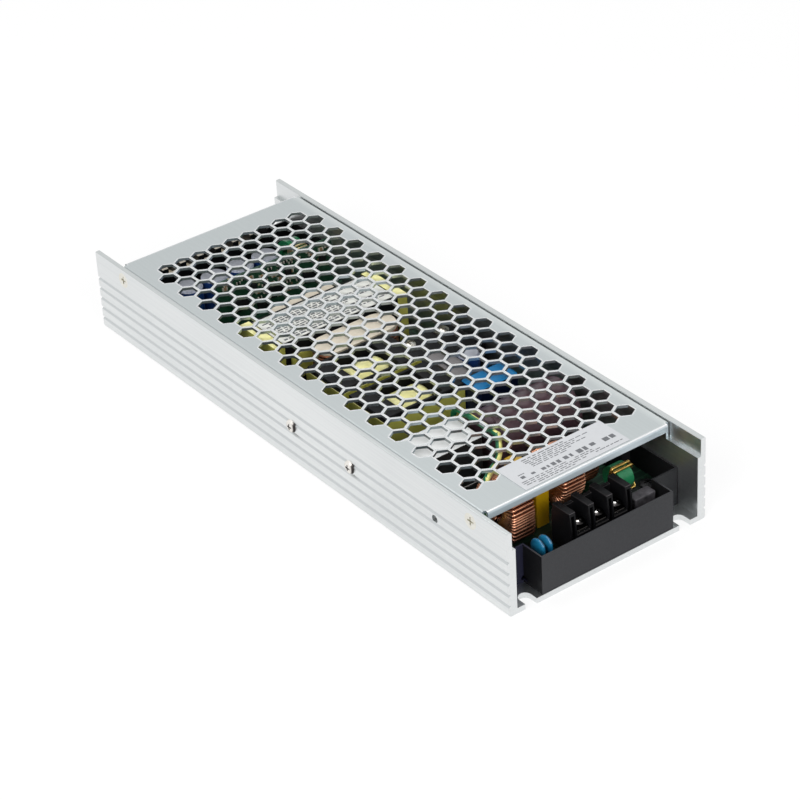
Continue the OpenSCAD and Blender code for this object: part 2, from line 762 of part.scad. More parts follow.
module chassis() {
  color([0.86, 0.87, 0.87])
  difference() {
    rotate([90, 0, 0]) linear_extrude(height = body_length, center = true) channel_section();
    both_x() both_y() {
      translate([notch_x, -end_y + notch_depth - notch_width / 2, -1])
        cylinder(d = notch_width, h = base_thickness + 2);
      translate([notch_x - notch_width / 2, -end_y - 1, -1])
        cube([notch_width, notch_depth - notch_width / 2 + 1, base_thickness + 2]);
    }
    both_x() both_y() translate([wall_x, cover_screw_y, cover_screw_z]) rotate([0, 90, 0]) {
      translate([0, 0, -wall_upper - 1]) cylinder(d = hole_size, h = wall_upper + 2);
      translate([0, 0, -cover_screw_sink])
        cylinder(d1 = screw_thread, d2 = cover_screw_head, h = cover_screw_sink);
    }
    for (y = wall_screws_y) translate([-wall_x - 1, y, wall_screw_z]) rotate([0, 90, 0])
      cylinder(d = hole_size, h = wall_lower + 2);
    translate([-wall_x - 1, plain_hole_y - end_y, plain_hole_z]) rotate([0, 90, 0])
      cylinder(d = plain_hole, h = wall_lower + 2);
  }
}

// flat blank of the cover with its hexagon mesh, every second column one hole shorter
module cover_outline() {
  difference() {
    square([2 * cover_x, 2 * cover_y], center = true);
    translate([hole_shift_x, hole_shift_y])
      for (c = [0 : hole_columns - 1])
        for (i = [0 : hole_rows - 1 - c % 2])
          translate([(i - (hole_rows - 1 - c % 2) / 2) * hole_pitch,
                     (c - (hole_columns - 1) / 2) * column_pitch])
            rotate(90) circle(d = hole_corner, $fn = 6);
  }
}

module top_cover() {
  color([0.76, 0.78, 0.78])
  difference() {
    union() {
      translate([0, 0, cover_under]) linear_extrude(height = cover_sheet) cover_outline();
      both_x() block([cover_x - cover_sheet, -cover_y, ledge_z],
                     [cover_x, cover_y, cover_under + e]);
      both_y() block([-cover_x, -cover_y, cover_top - cover_lip],
                     [cover_x, -cover_y + cover_sheet, cover_under + e]);
    }
    both_x() both_y() block([cover_x - cover_relief, -cover_y - 1, ledge_z - 1],
                            [cover_x + 1, -cover_y + cover_relief, cover_top + 1]);
    both_x() translate([cover_x - cover_bend, 0, cover_top - cover_bend]) rotate([90, 0, 0])
      linear_extrude(height = 2 * big, center = true) corner_cut(cover_bend);
    both_y() translate([0, cover_y - cover_bend, cover_top - cover_bend]) rotate([90, 0, 90])
      linear_extrude(height = 2 * big, center = true) corner_cut(cover_bend);
    both_x() both_y() translate([cover_x - 2 * cover_sheet, cover_screw_y, cover_screw_z])
      rotate([0, 90, 0]) cylinder(d = screw_thread, h = 4 * cover_sheet);
  }
}

module cover_screws() {
  long = wall_upper + cover_gap + cover_sheet + cover_screw_reach;
  color([0.8, 0.8, 0.78])
  both_x() both_y() translate([wall_x, cover_screw_y, cover_screw_z]) rotate([0, 90, 0])
    difference() {
      union() {
        translate([0, 0, -cover_screw_sink])
          cylinder(d1 = screw_thread, d2 = cover_screw_head, h = cover_screw_sink);
        translate([0, 0, -long]) cylinder(d = screw_thread, h = long - cover_screw_sink + e);
      }
      cross_slot(cover_screw_head * 0.54, slot_depth);
    }
}

module wall_screws() {
  color([0.8, 0.8, 0.78])
  for (y = wall_screws_y)
    translate([-wall_x, y, wall_screw_z]) rotate([0, -90, 0])
      pan_screw(wall_head, wall_head_high, wall_lower + package_thick + bar_thick);
}

module rating_label() {
  color([0.86, 0.87, 0.87])
  translate([label_shift, label_inset - cover_y, cover_top])
    block([-label_long / 2, 0, 0], [label_long / 2, label_wide, label_thick]);
}

module base_insulator() {
  color([0.08, 0.08, 0.09])
  difference() {
    block([-board_x, -board_y, base_thickness], [board_x, board_y, base_thickness + film_thick]);
    for (p = standoffs) translate([p[0], p[1], 0])
      cylinder(d = standoff_size + film_gap, h = board_z);
  }
}

// folded black sheet across the mains end, open at the top, skirts back along the walls
module insulator(side_top) {
  difference() {
    union() {
      block([-insulator_half, -ins_front, base_thickness],
            [insulator_half, -ins_inner, insulator_top]);
      block([-insulator_half, -ins_front, base_thickness],
            [insulator_half, -ins_back, base_thickness + sleeve]);
      both_x() block([side_inner, -ins_front, base_thickness],
                     [insulator_half, -ins_back, side_top]);
      both_x() block([side_inner, -ins_back, base_thickness],
                     [skirt_x, -ins_back + sleeve, side_top]);
      both_x() block([skirt_x - sleeve, -ins_back, base_thickness],
                     [skirt_x, -ins_back + skirt_length, side_top]);
    }
    both_x() translate([insulator_half + fold_hole / 8, -ins_back - 2, base_thickness + fold_hole])
      rotate([-90, 0, 0]) cylinder(d = fold_hole, h = 4);
  }
}

module mains_insulator() {
  color([0.09, 0.09, 0.1]) insulator(insulator_top);
}

module output_insulator() {
  color([0.09, 0.09, 0.1]) rotate([0, 0, 180]) insulator(output_side_top);
}

module main_board() {
  color([0.08, 0.2, 0.13])
  difference() {
    union() {
      block([-board_x, -board_y, board_z], [board_x, board_y, top_z]);
      block([-tongue_x, -tongue_y, board_z], [tongue_x, tongue_y, top_z]);
    }
    for (p = standoffs) translate([p[0], p[1], 0]) cylinder(d = hole_size, h = 2 * top_z);
  }
}

module board_standoffs() {
  color([0.75, 0.76, 0.77])
  for (p = standoffs) translate([p[0], p[1], base_thickness])
    difference() {
      cylinder(d = standoff_size, h = standoff_height);
      translate([0, 0, -e]) cylinder(d = screw_thread, h = standoff_height + 1);
    }
}

module board_screws() {
  color([0.75, 0.76, 0.77])
  for (p = standoffs) translate([p[0], p[1], top_z])
    pan_screw(pan_head, pan_height, board_thickness + standoff_height * 0.83);
}

// barrier block standing on height zero, wire side toward -Y, front face at y zero
module terminal_body(poles) {
  half = (poles * pole_pitch + barrier) / 2;
  rear = block_depth - barrier_rear;
  difference() {
    union() {
      block([-half, 0, 0], [half, block_depth, seat_height]);
      block([-half, block_depth - block_back, 0],
            [half, block_depth, barrier_height - block_back_drop]);
      for (i = [0 : poles])
        translate([(i - poles / 2) * pole_pitch, 0, 0]) rotate([90, 0, 90])
          linear_extrude(height = barrier, center = true)
            polygon([[0, 0], [0, seat_height + barrier_straight],
                     [barrier_slope, barrier_height], [rear, barrier_height], [rear, 0]]);
    }
    for (i = [0 : poles])
      translate([(i - poles / 2) * pole_pitch - barrier / 2 + barrier_skin, -1, -1])
        cube([barrier - 2 * barrier_skin, barrier_slot + 1, barrier_height - barrier_roof + 1]);
    for (i = [0 : poles - 1])
      translate([(i - (poles - 1) / 2) * pole_pitch, screw_back, seat_height - screw_reach])
        cylinder(d = screw_thread, h = 2 * screw_reach);
  }
}

module terminal_plates(poles, used) {
  for (i = used)
    translate([(i - (poles - 1) / 2) * pole_pitch, 0, seat_height])
      difference() {
        block([plate_gap - bay / 2, 2 * plate_gap, 0],
              [bay / 2 - plate_gap, block_depth - block_back, plate_thick]);
        translate([0, screw_back, -1]) cylinder(d = screw_thread, h = plate_thick + 2);
      }
}

module terminal_screws(poles, used) {
  side = bay / 2 - 2 * plate_gap;
  for (i = used)
    translate([(i - (poles - 1) / 2) * pole_pitch, screw_back, seat_height + plate_thick])
      union() {
        translate([0, 0, washer_thick])
          pan_screw(terminal_head, terminal_head_high, washer_thick + plate_thick + screw_reach);
        difference() {
          block([-side, -side, 0], [side, side, washer_thick]);
          cylinder(d = screw_thread - e, h = 4 * washer_thick, center = true);
        }
      }
}

module mains_terminal() {
  color([0.07, 0.07, 0.08]) on_board(mains_x, -terminal_y) terminal_body(mains_poles);
}

module mains_plates() {
  color([0.78, 0.77, 0.74]) on_board(mains_x, -terminal_y)
    terminal_plates(mains_poles, [0 : mains_poles - 1]);
}

module mains_screws() {
  color([0.8, 0.79, 0.76]) on_board(mains_x, -terminal_y)
    terminal_screws(mains_poles, [0 : mains_poles - 1]);
}

// coated disc standing on two legs, its face toward the side
module disc_capacitor() {
  r = disc_radius - disc_thick / 2;
  translate([0, 0, disc_rise]) rotate([0, 90, 0]) rotate_extrude()
    union() {
      translate([0, -disc_thick / 2]) square([r, disc_thick]);
      intersection() {
        translate([r, 0]) circle(disc_thick / 2);
        translate([r, -disc_thick]) square([disc_thick, 2 * disc_thick]);
      }
    }
  for (y = [-disc_leg_pitch / 2, disc_leg_pitch / 2])
    translate([0, y, 0]) cylinder(d = disc_leg, h = disc_rise / 2);
}

module disc_capacitors() {
  color([0.05, 0.35, 0.55])
  for (i = [0, 1]) on_board(disc_x + i * (disc_thick + disc_gap), disc_y) disc_capacitor();
}

// ring core standing on its rim, hole along X
module ring_core(r_out, r_in, wide) {
  rotate([0, 90, 0]) difference() {
    cylinder(r = r_out, h = wide, center = true);
    cylinder(r = r_in, h = wide + 2, center = true);
  }
}

// separate turns round a ring core, spread over the arc from one angle to another,
// each a loop that narrows toward the bore as the crowded wire does
module ring_turns(r_out, r_in, wide, wire, from, to) {
  slack = 0.06;
  pitch = wire * turn_spacing / (r_out + wire / 2) * 180 / PI;
  gaps = floor((to - from) / pitch);
  taper = tan(pitch * 0.42);
  low = r_in - slack - wire;
  high = r_out + wire;
  for (i = [0 : gaps])
    rotate([from + (to - from) * i / gaps, 0, 0])
      difference() {
        rotate([90, 0, 90]) linear_extrude(height = wide + 2 * wire, center = true)
          polygon([[low, -low * taper], [high, -high * taper],
                   [high, high * taper], [low, low * taper]]);
        translate([-wide / 2, r_in - slack, -wire])
          cube([wide, r_out - r_in + slack, 2 * wire]);
      }
}

module line_choke_core(x, y, r, bore) {
  color([0.12, 0.12, 0.12])
  on_board(x, y) translate([0, 0, r]) ring_core(r - choke_wire, bore, choke_core_wide);
}

module line_choke_winding(x, y, r, bore) {
  color([0.72, 0.42, 0.26])
  on_board(x, y) translate([0, 0, r])
    ring_turns(r - choke_wire, bore, choke_core_wide, choke_wire, -90, choke_arc - 90);
}

module line_choke_a_core() { line_choke_core(choke_a_x, choke_a_y, choke_radius, choke_bore); }
module line_choke_a_winding() { line_choke_winding(choke_a_x, choke_a_y, choke_radius, choke_bore); }
module line_choke_b_core() { line_choke_core(choke_b_x, choke_b_y, choke_radius, choke_bore); }
module line_choke_b_winding() { line_choke_winding(choke_b_x, choke_b_y, choke_radius, choke_bore); }
module line_choke_c_core() { line_choke_core(choke_c_x, choke_c_y, choke_c_radius, choke_c_bore); }
module line_choke_c_winding() {
  line_choke_winding(choke_c_x, choke_c_y, choke_c_radius, choke_c_bore);
}

// ring core of a green choke, standing on height zero over its turns
module green_core(r, bore, wide, wire) {
  translate([0, 0, r]) ring_core(r - wire, bore, wide - 2 * wire);
}

module green_turns(r, bore, wide, wire, arcs) {
  translate([0, 0, r])
    for (a = arcs) ring_turns(r - wire, bore, wide - 2 * wire, wire, a[0], a[1]);
}

module green_choke_core() {
  color([0.1, 0.4, 0.28]) on_board(green_x, green_y)
    green_core(green_radius, green_bore, green_width, green_wire);
}

module green_choke_winding() {
  color([0.75, 0.6, 0.25]) on_board(green_x, green_y)
    green_turns(green_radius, green_bore, green_width, green_wire, [[101, 118], [220, 254]]);
}

module box_capacitor() {
  color([0.75, 0.6, 0.08]) on_board(box_x, choke_a_y - box_lead)
    soft_block([0, 0, 0], [box_thick, box_long, box_high], case_round);
}

module input_fuse() {
  color([0.1, 0.1, 0.11]) on_board(fuse_x - fuse_long / 2, fuse_y)
    soft_block([0, 0, 0], [fuse_long, fuse_wide, fuse_high], case_round);
}

// relay case on a slightly wider foot
module relay() {
  color([0.8, 0.81, 0.8]) on_board(relay_left, relay_y)
    union() {
      soft_block([0, 0, 0], [relay_long, relay_wide, relay_foot], case_round);
      soft_block([relay_step, relay_step, 0],
                 [relay_long - relay_step, relay_wide - relay_step, relay_high], case_round);
    }
}

// earth wire path: up behind the bulk capacitor, past it, over the line choke and down
function wire_path() =
  let (x = bulk_x - wire_room + earth_wire_size / 2 + 0.25, y = middle_y + 2 * bulk_r + 0.5)
    [[x, y, 0], [x, y, wire_z - 4.4], [x, y - 0.4, wire_z - 2.4], [x, y - 1.4, wire_z - 0.6],
     [x, y - 3, wire_z], [x, middle_y + 0.5, wire_z], [x - 0.8, middle_y - 2.5, wire_z],
     [choke_a_x + 4.5, choke_a_y + 8.4, wire_z], [choke_a_x - 4.5, choke_a_y + 2.4, wire_z],
     [choke_a_x - 6.7, choke_a_y + 0.8, wire_z - 0.6],
     [choke_a_x - 8.3, choke_a_y - 0.4, wire_z - 2.4],
     [choke_a_x - 8.9, choke_a_y - 1, wire_z - 5],
     [choke_a_x - 8.9, choke_a_y - 1.2, wire_z / 2],
     [choke_a_x - 8.9, choke_a_y - 1.2, 0]];
function unit(v) = v / norm(v);
function path_dir(p, i) = unit(p[min(i + 1, len(p) - 1)] - p[max(i - 1, 0)]);
function ring_at(p, i, r) =
  let (t = path_dir(p, i), n = unit(cross(t, [1, 0, 0])), b = cross(t, n))
    [for (k = [0 : 7]) p[i] + r * (cos(k * 45) * n + sin(k * 45) * b)];

module earth_wire() {
  p = wire_path();
  n = len(p);
  pts = [for (i = [0 : n - 1]) each ring_at(p, i, earth_wire_size / 2)];
  sides = [for (i = [0 : n - 2]) for (k = [0 : 7])
    [i * 8 + k, i * 8 + (k + 1) % 8, i * 8 + 8 + (k + 1) % 8, i * 8 + 8 + k]];
  ends = [[for (k = [0 : 7]) 7 - k], [for (k = [0 : 7]) (n - 1) * 8 + k]];
  color([0.55, 0.68, 0.15]) on_board(0, 0) polyhedron(pts, concat(sides, ends));
}

module bulk_capacitor() {
  color([0.22, 0.07, 0.09])
  on_board(bulk_x, bulk_y) translate([0, 0, bulk_r]) rotate([0, 90, 0])
    can(bulk_r, bulk_long, bulk_roll);
}

module film_capacitor() {
  color([0.1, 0.2, 0.55]) on_board(film_cap_x, film_cap_y)
    soft_block([0, 0, 0], [film_cap_long, film_cap_wide, film_cap_high], film_cap_round);
}

// core of a boost choke: a frame round the winding window with a round post across it
module boost_core() {
  deep = boost_half_y - boost_wall;
  difference() {
    block([-boost_half_x, -boost_half_y, 0], [boost_half_x, boost_half_y, boost_high]);
    block([-boost_window, -deep, -1], [boost_window, deep, boost_high + 1]);
  }
  translate([0, 0, boost_high / 2]) rotate([0, 90, 0])
    cylinder(r = boost_post, h = 2 * boost_window + 2, center = true);
}

// taped winding round the post, its ends rounded over
module boost_winding() {
  mid = boost_window - boost_round;
  translate([0, 0, boost_high / 2]) rotate([0, 90, 0]) rotate_extrude()
    difference() {
      union() {
        translate([0, -boost_window]) square([boost_r - boost_round, 2 * boost_window]);
        translate([0, -mid]) square([boost_r, 2 * mid]);
        for (y = [-mid, mid]) translate([boost_r - boost_round, y]) circle(boost_round);
      }
      translate([0, -2 * boost_window]) square([boost_post, 4 * boost_window]);
      translate([-big, -2 * boost_window]) square([big, 4 * boost_window]);
    }
}

module boost_tape() {
  x = boost_half_x + tape;
  y = boost_half_y + tape;
  difference() {
    block([-x, -y, tape_low], [x, y, boost_high - tape_bare]);
    block([-boost_half_x, -boost_half_y, 0], [boost_half_x, boost_half_y, boost_high + 1]);
  }
}

module boost_choke_cores() {
  color([0.1, 0.1, 0.11]) for (y = boost_y) on_board(boost_x, y) boost_core();
}

module boost_choke_windings() {
  color([0.85, 0.75, 0.15]) for (y = boost_y) on_board(boost_x, y) boost_winding();
}

module boost_choke_tapes() {
  color([0.75, 0.66, 0.15]) for (y = boost_y) on_board(boost_x, y) boost_tape();
}

// bent plate seen from the end: a shelf over a web at its right edge, outer bend rounded
module bent_plate(wide, high, shelf, web) {
  bend = shelf;
  difference() {
    union() {
      translate([0, high - shelf]) square([wide, shelf]);
      translate([wide - web, 0]) square([web, high]);
    }
    translate([wide - bend, high - bend]) corner_cut(bend);
  }
}

module primary_heatsink() {
  color([0.12, 0.12, 0.13])
  on_board(0, 0) difference() {
    translate([sink_x, sink_back, 0]) rotate([90, 0, 0]) linear_extrude(height = sink_long)
      bent_plate(sink_right - sink_x, sink_high, sink_plate, sink_web);
    for (p = sink_screws) translate([p[0], p[1], sink_high - 2 * sink_plate])
      cylinder(d = hole_size, h = 4 * sink_plate);
  }
}

module bridge_heatsink() {
  color([0.42, 0.42, 0.43]) on_board(sink_x, bridge_y + bridge_long)
    rotate([90, 0, 0]) linear_extrude(height = bridge_long)
      bent_plate(bridge_wide, bridge_high, sink_plate, sink_plate);
}

module heatsink_screws() {
  color([0.78, 0.78, 0.77])
  for (p = sink_screws) on_board(p[0], p[1]) translate([0, 0, sink_high])
    pan_screw(pan_head, pan_height, sink_plate + package_thick * 0.8);
}

// flat packages screwed under the shelf of the heatsink, three leads each
module power_transistors() {
  low = sink_high - sink_plate - package_thick;
  front = flat_hole - flat_long;
  color([0.08, 0.08, 0.09])
  for (p = sink_screws) on_board(p[0], p[1]) {
    difference() {
      block([-flat_wide / 2, front, low], [flat_wide / 2, flat_hole, low + package_thick]);
      translate([0, 0, low - 1]) cylinder(d = screw_thread, h = package_thick + 2);
    }
    for (x = [-lead_pitch, 0, lead_pitch])
      block([x - lead_size / 2, front + lead_size, 0],
            [x + lead_size / 2, front + 2 * lead_size, low + e]);
  }
}

module bias_capacitor() {
  color([0.62, 0.64, 0.68]) on_board(bias_x, bias_y) can(bias_radius, bias_high, cap_roll);
}

module wall_transistors() {
  color([0.08, 0.08, 0.09])
  for (y = wall_screws_y, s = [-1, 1])
    on_board(-lower_in, y + s * (package_offset + package_wide / 2)) {
      block([0, -package_wide / 2, lead_high],
            [package_thick, package_wide / 2, lead_high + package_high]);
      for (k = [-lead_pitch, 0, lead_pitch])
        block([package_thick / 2, k - lead_size / 2, 0],
              [package_thick / 2 + lead_size, k + lead_size / 2, lead_high + e]);
    }
}

module clamp_bar() {
  x = package_thick - lower_in;
  color([0.7, 0.71, 0.72])
  difference() {
    block([x, wall_screws_y[0] - bar_reach, wall_screw_z - bar_wide / 2],
          [x + bar_thick, wall_screws_y[1] + bar_reach, wall_screw_z + bar_wide / 2]);
    for (y = wall_screws_y) translate([x - 1, y, wall_screw_z]) rotate([0, 90, 0])
      cylinder(d = screw_thread, h = bar_thick + 2);
  }
}

module series_bobbin() {
  color([0.82, 0.74, 0.6])
  on_board(series_x, series_y) {
    stadium(series_half, series_r - series_step, series_flange);
    translate([0, 0, series_high - series_flange])
      stadium(series_half, series_r - series_step, series_flange);
    stadium(series_half, series_core, series_high - e);
  }
}

module series_winding() {
  color([0.5, 0.28, 0.16])
  on_board(series_x, series_y) translate([0, 0, series_flange]) difference() {
    stadium(series_half, series_r, series_high - 2 * series_flange);
    translate([0, 0, -1]) stadium(series_half, series_core, series_high);
  }
}

module transformer_core() {
  color([0.1, 0.1, 0.11])
  on_board(trans_x, trans_y) difference() {
    block([-trans_half_x, -trans_half_y, trans_floor], [trans_half_x, trans_half_y, trans_high]);
    both_x() block([trans_leg, -2 * trans_half_y, trans_floor + yoke_low],
                   [window_out, 2 * trans_half_y, trans_high - yoke_top]);
  }
}

module transformer_winding() {
  x = window_out - winding_gap;
  low = trans_floor + yoke_low + winding_gap;
  color([0.8, 0.7, 0.18])
  on_board(trans_x, trans_y) difference() {
    soft_block([-x, -trans_half_y - trans_bulge, low],
               [x, trans_half_y + trans_bulge_rear, trans_high - yoke_top - winding_gap], winding_round);
    block([-trans_leg, -trans_half_y, 0], [trans_leg, trans_half_y, trans_high]);
  }
}

module transformer_tape() {
  color([0.85, 0.76, 0.18])
  on_board(trans_x, trans_y) both_x() difference() {
    block([trans_half_x - trans_tape_wide, -trans_half_y - tape, trans_floor + 1],
          [trans_half_x + tape, trans_half_y + tape, trans_high + tape]);
    block([0, -trans_half_y, 0], [trans_half_x, trans_half_y, trans_high]);
  }
}

module transformer_bobbin() {
  shelf = trans_half_y + trans_bulge_rear + shelf_room;
  color([0.85, 0.8, 0.66])
  on_board(trans_x, trans_y) {
    block([-foot_half, -trans_half_y - trans_bulge, 0],
          [foot_half, shelf + shelf_thick, trans_floor]);
    block([shelf_shift - shelf_half, shelf, 0],
          [shelf_shift + shelf_half, shelf + shelf_thick, shelf_high]);
  }
}

module transformer_label() {
  x = trans_half_x - trans_tape_wide - trans_label_edge;
  y = trans_half_y - trans_label_end;
  color([0.88, 0.88, 0.86])
  on_board(trans_x, trans_y) block([-x, -y, trans_high], [x, y, trans_high + label_thick]);
}

module control_board() {
  color([0.07, 0.19, 0.12]) on_board(control_x, control_y)
    block([0, 0, 0], [control_long, control_thick, control_high]);
}

// packages on the control board, in rows on the main board and beside the chokes
module small_parts() {
  rows_y = control_y - chip_thick - row_room;
  color([0.13, 0.13, 0.13]) {
    for (i = [0 : 2]) on_board(control_x + (i + 0.4) * control_long / 3.3, control_y)
      block([0, -chip_thick, control_high / 4], [chip_wide, 0, control_high / 4 + chip_high]);
    for (i = [0 : 2]) on_board(control_x + (i + 0.9) * control_long / 3.3, control_y)
      block([0, -dot_thick, control_high * 0.6], [dot_wide, 0, control_high * 0.6 + dot_high]);
    for (j = [0 : 1 : row_count - 1], i = [-2 : 2])
      on_board((i + (j % 2) / 4) * row_pitch_x, rows_y - (j + 1) * row_pitch_y)
        block([-row_wide / 2, 0, 0], [row_wide / 2, row_deep, row_high]);
    for (i = [1, 2]) on_board(board_x - upright_side, middle_front - i * (upright_deep + 1))
      block([0, 0, 0], [upright_wide, upright_deep, upright_high]);
  }
}

module output_capacitors() {
  color([0.62, 0.64, 0.68])
  for (x = caps_x) on_board(x, cap_y) can(cap_r, cap_high, cap_roll);
}

module output_choke_core() {
  color([0.1, 0.42, 0.25]) on_board(output_choke_x, output_choke_y)
    green_core(out_radius, out_bore, out_width, out_wire);
}

module output_choke_winding() {
  color([0.72, 0.45, 0.25]) on_board(output_choke_x, output_choke_y)
    green_turns(out_radius, out_bore, out_width, out_wire, [[112, 152], [230, 270]]);
}

module output_terminal() {
  color([0.07, 0.07, 0.08])
  on_board(output_x, terminal_y) rotate([0, 0, 180]) terminal_body(output_poles);
}

module output_plates() {
  color([0.78, 0.77, 0.74])
  on_board(output_x, terminal_y) rotate([0, 0, 180])
    terminal_plates(output_poles, output_used);
}

module output_screws() {
  color([0.8, 0.79, 0.76])
  on_board(output_x, terminal_y) rotate([0, 0, 180])
    terminal_screws(output_poles, output_used);
}

chassis();
top_cover();
cover_screws();
wall_screws();
rating_label();
base_insulator();
mains_insulator();
output_insulator();
main_board();
board_standoffs();
board_screws();
mains_terminal();
mains_plates();
mains_screws();
disc_capacitors();
line_choke_a_core();
line_choke_a_winding();
line_choke_b_core();
line_choke_b_winding();
line_choke_c_core();
line_choke_c_winding();
green_choke_core();
green_choke_winding();
box_capacitor();
input_fuse();
relay();
earth_wire();
bulk_capacitor();
film_capacitor();
boost_choke_cores();
boost_choke_windings();
boost_choke_tapes();
primary_heatsink();
bridge_heatsink();
heatsink_screws();
power_transistors();
bias_capacitor();
wall_transistors();
clamp_bar();
series_bobbin();
series_winding();
transformer_core();
transformer_winding();
transformer_tape();
transformer_bobbin();
transformer_label();
control_board();
small_parts();
output_capacitors();
output_choke_core();
output_choke_winding();
output_terminal();
output_plates();
output_screws();
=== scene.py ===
import math
import random

import bmesh
import bpy
from mathutils import Matrix, Vector


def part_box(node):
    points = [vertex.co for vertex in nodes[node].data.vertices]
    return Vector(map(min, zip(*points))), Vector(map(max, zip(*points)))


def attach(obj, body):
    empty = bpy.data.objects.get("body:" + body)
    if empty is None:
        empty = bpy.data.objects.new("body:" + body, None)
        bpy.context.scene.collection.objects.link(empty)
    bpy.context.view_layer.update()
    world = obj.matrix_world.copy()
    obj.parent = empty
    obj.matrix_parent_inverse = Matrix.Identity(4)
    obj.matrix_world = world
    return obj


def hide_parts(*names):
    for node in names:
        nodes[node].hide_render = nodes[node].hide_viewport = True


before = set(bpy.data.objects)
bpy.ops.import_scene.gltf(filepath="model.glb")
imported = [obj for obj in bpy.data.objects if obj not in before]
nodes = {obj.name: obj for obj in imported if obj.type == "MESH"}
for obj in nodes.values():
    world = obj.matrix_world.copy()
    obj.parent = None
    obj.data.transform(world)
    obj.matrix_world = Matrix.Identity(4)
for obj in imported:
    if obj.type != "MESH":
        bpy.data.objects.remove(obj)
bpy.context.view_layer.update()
MM = 0.001
MERGE = 1e-6  # points nearer than this are one, in metres
X, Y, Z = 0, 1, 2  # axes of the frame
random.seed(7)


def tint(*channels):
    """a colour as it looks on the object, 0 to 255, for a shader's socket"""
    def linear(v):
        v = v / 255
        return v / 12.92 if v <= 0.04045 else ((v + 0.055) / 1.055) ** 2.4
    return (*(linear(v) for v in channels), 1.0)


# shared surface effects

GRAIN_LOW, GRAIN_HIGH = 0.3, 0.7  # the part of the noise that the mask spreads over 0 to 1
GRAIN_SHARE = 0.5  # of the fine and of the broad grain in a finish
BUMP_DEPTH = 0.03 * MM
COAT_ROUGHNESS = 0.1


def make_grain_group():
    """noise in object coordinates as a mask from 0 to 1"""
    group = bpy.data.node_groups.new("surface_grain", "ShaderNodeTree")
    for label, kind, value in (("Stretch", "NodeSocketVector", (1, 1, 1)),
                               ("Scale", "NodeSocketFloat", 400), ("Detail", "NodeSocketFloat", 3)):
        group.interface.new_socket(label, in_out="INPUT", socket_type=kind).default_value = value
    group.interface.new_socket("Mask", in_out="OUTPUT", socket_type="NodeSocketFloat")
    add, link = group.nodes.new, group.links.new
    ins, outs = add("NodeGroupInput"), add("NodeGroupOutput")
    place, pull, noise, spread = (add("ShaderNodeTexCoord"), add("ShaderNodeVectorMath"),
                                  add("ShaderNodeTexNoise"), add("ShaderNodeMapRange"))
    pull.operation = "MULTIPLY"
    link(place.outputs["Object"], pull.inputs[0])
    link(ins.outputs["Stretch"], pull.inputs[1])
    link(pull.outputs[0], noise.inputs["Vector"])
    link(ins.outputs["Scale"], noise.inputs["Scale"])
    link(ins.outputs["Detail"], noise.inputs["Detail"])
    link(noise.outputs["Fac"], spread.inputs["Value"])
    spread.inputs["From Min"].default_value = GRAIN_LOW
    spread.inputs["From Max"].default_value = GRAIN_HIGH
    link(spread.outputs["Result"], outs.inputs["Mask"])
    return group


GRAIN = make_grain_group()


def grain(tree, scale, stretch=(1, 1, 1), detail=3):
    node = tree.nodes.new("ShaderNodeGroup")
    node.node_tree = GRAIN
    node.inputs["Scale"].default_value = scale
    node.inputs["Stretch"].default_value = stretch
    node.inputs["Detail"].default_value = detail
    return node.outputs["Mask"]


def number(tree, operation, a, b):
    """one step of arithmetic on masks or plain numbers, kept within 0 to 1"""
    node = tree.nodes.new("ShaderNodeMath")
    node.operation = operation
    node.use_clamp = True
    for socket, value in zip(node.inputs, (a, b)):
        if isinstance(value, (int, float)):
            socket.default_value = value
        else:
            tree.links.new(value, socket)
    return node.outputs[0]


def blend_colour(tree, mask, first, second):
    """the first colour where the mask is 0, the second where it is 1"""
    node = tree.nodes.new("ShaderNodeMix")
    node.data_type = "RGBA"
    tree.links.new(mask, node.inputs["Factor"])
    for socket, value in ((node.inputs["A"], first), (node.inputs["B"], second)):
        if isinstance(value, tuple):
            socket.default_value = value
        else:
            tree.links.new(value, socket)
    return [o for o in node.outputs if o.type == "RGBA"][0]


def ranged(tree, mask, low, high):
    """a mask spread over low to high"""
    node = tree.nodes.new("ShaderNodeMapRange")
    tree.links.new(mask, node.inputs["Value"])
    node.inputs["To Min"].default_value = low
    node.inputs["To Max"].default_value = high
    return node.outputs["Result"]


def finish_surface(name, base, shade, rough, metallic=0.0, fine=900, stretch=(1, 1, 1), broad=25,
                   bump=0.15, coat=0.0, extra=None, shine=0.5):
    """one procedural material: two tones by fine and broad grain, varying roughness and a fine bump"""
    material = bpy.data.materials.new(name)
    material.use_nodes = True
    tree = material.node_tree
    shader = tree.nodes["Principled BSDF"]
    small, large = grain(tree, fine, stretch), grain(tree, broad, detail=2)
    mask = number(tree, "ADD", number(tree, "MULTIPLY", small, GRAIN_SHARE),
                  number(tree, "MULTIPLY", large, GRAIN_SHARE))
    colour = blend_colour(tree, mask, base, shade)
    if extra:
        colour = extra(tree, colour)
    tree.links.new(colour, shader.inputs["Base Color"])
    tree.links.new(ranged(tree, mask, *rough), shader.inputs["Roughness"])
    shader.inputs["Metallic"].default_value = metallic
    shader.inputs["Specular IOR Level"].default_value = shine
    shader.inputs["Coat Weight"].default_value = coat
    shader.inputs["Coat Roughness"].default_value = COAT_ROUGHNESS
    relief = tree.nodes.new("ShaderNodeBump")
    relief.inputs["Strength"].default_value = bump
    relief.inputs["Distance"].default_value = BUMP_DEPTH
    tree.links.new(small, relief.inputs["Height"])
    tree.links.new(relief.outputs["Normal"], shader.inputs["Normal"])
    return material


def axis_mask(tree, vector, axis, low, high):
    """0 at low and 1 at high in one part of a vector"""
    split, spread = tree.nodes.new("ShaderNodeSeparateXYZ"), tree.nodes.new("ShaderNodeMapRange")
    tree.links.new(vector, split.inputs[0])
    tree.links.new(split.outputs[axis], spread.inputs["Value"])
    spread.inputs["From Min"].default_value = low
    spread.inputs["From Max"].default_value = high
    return spread.outputs["Result"]


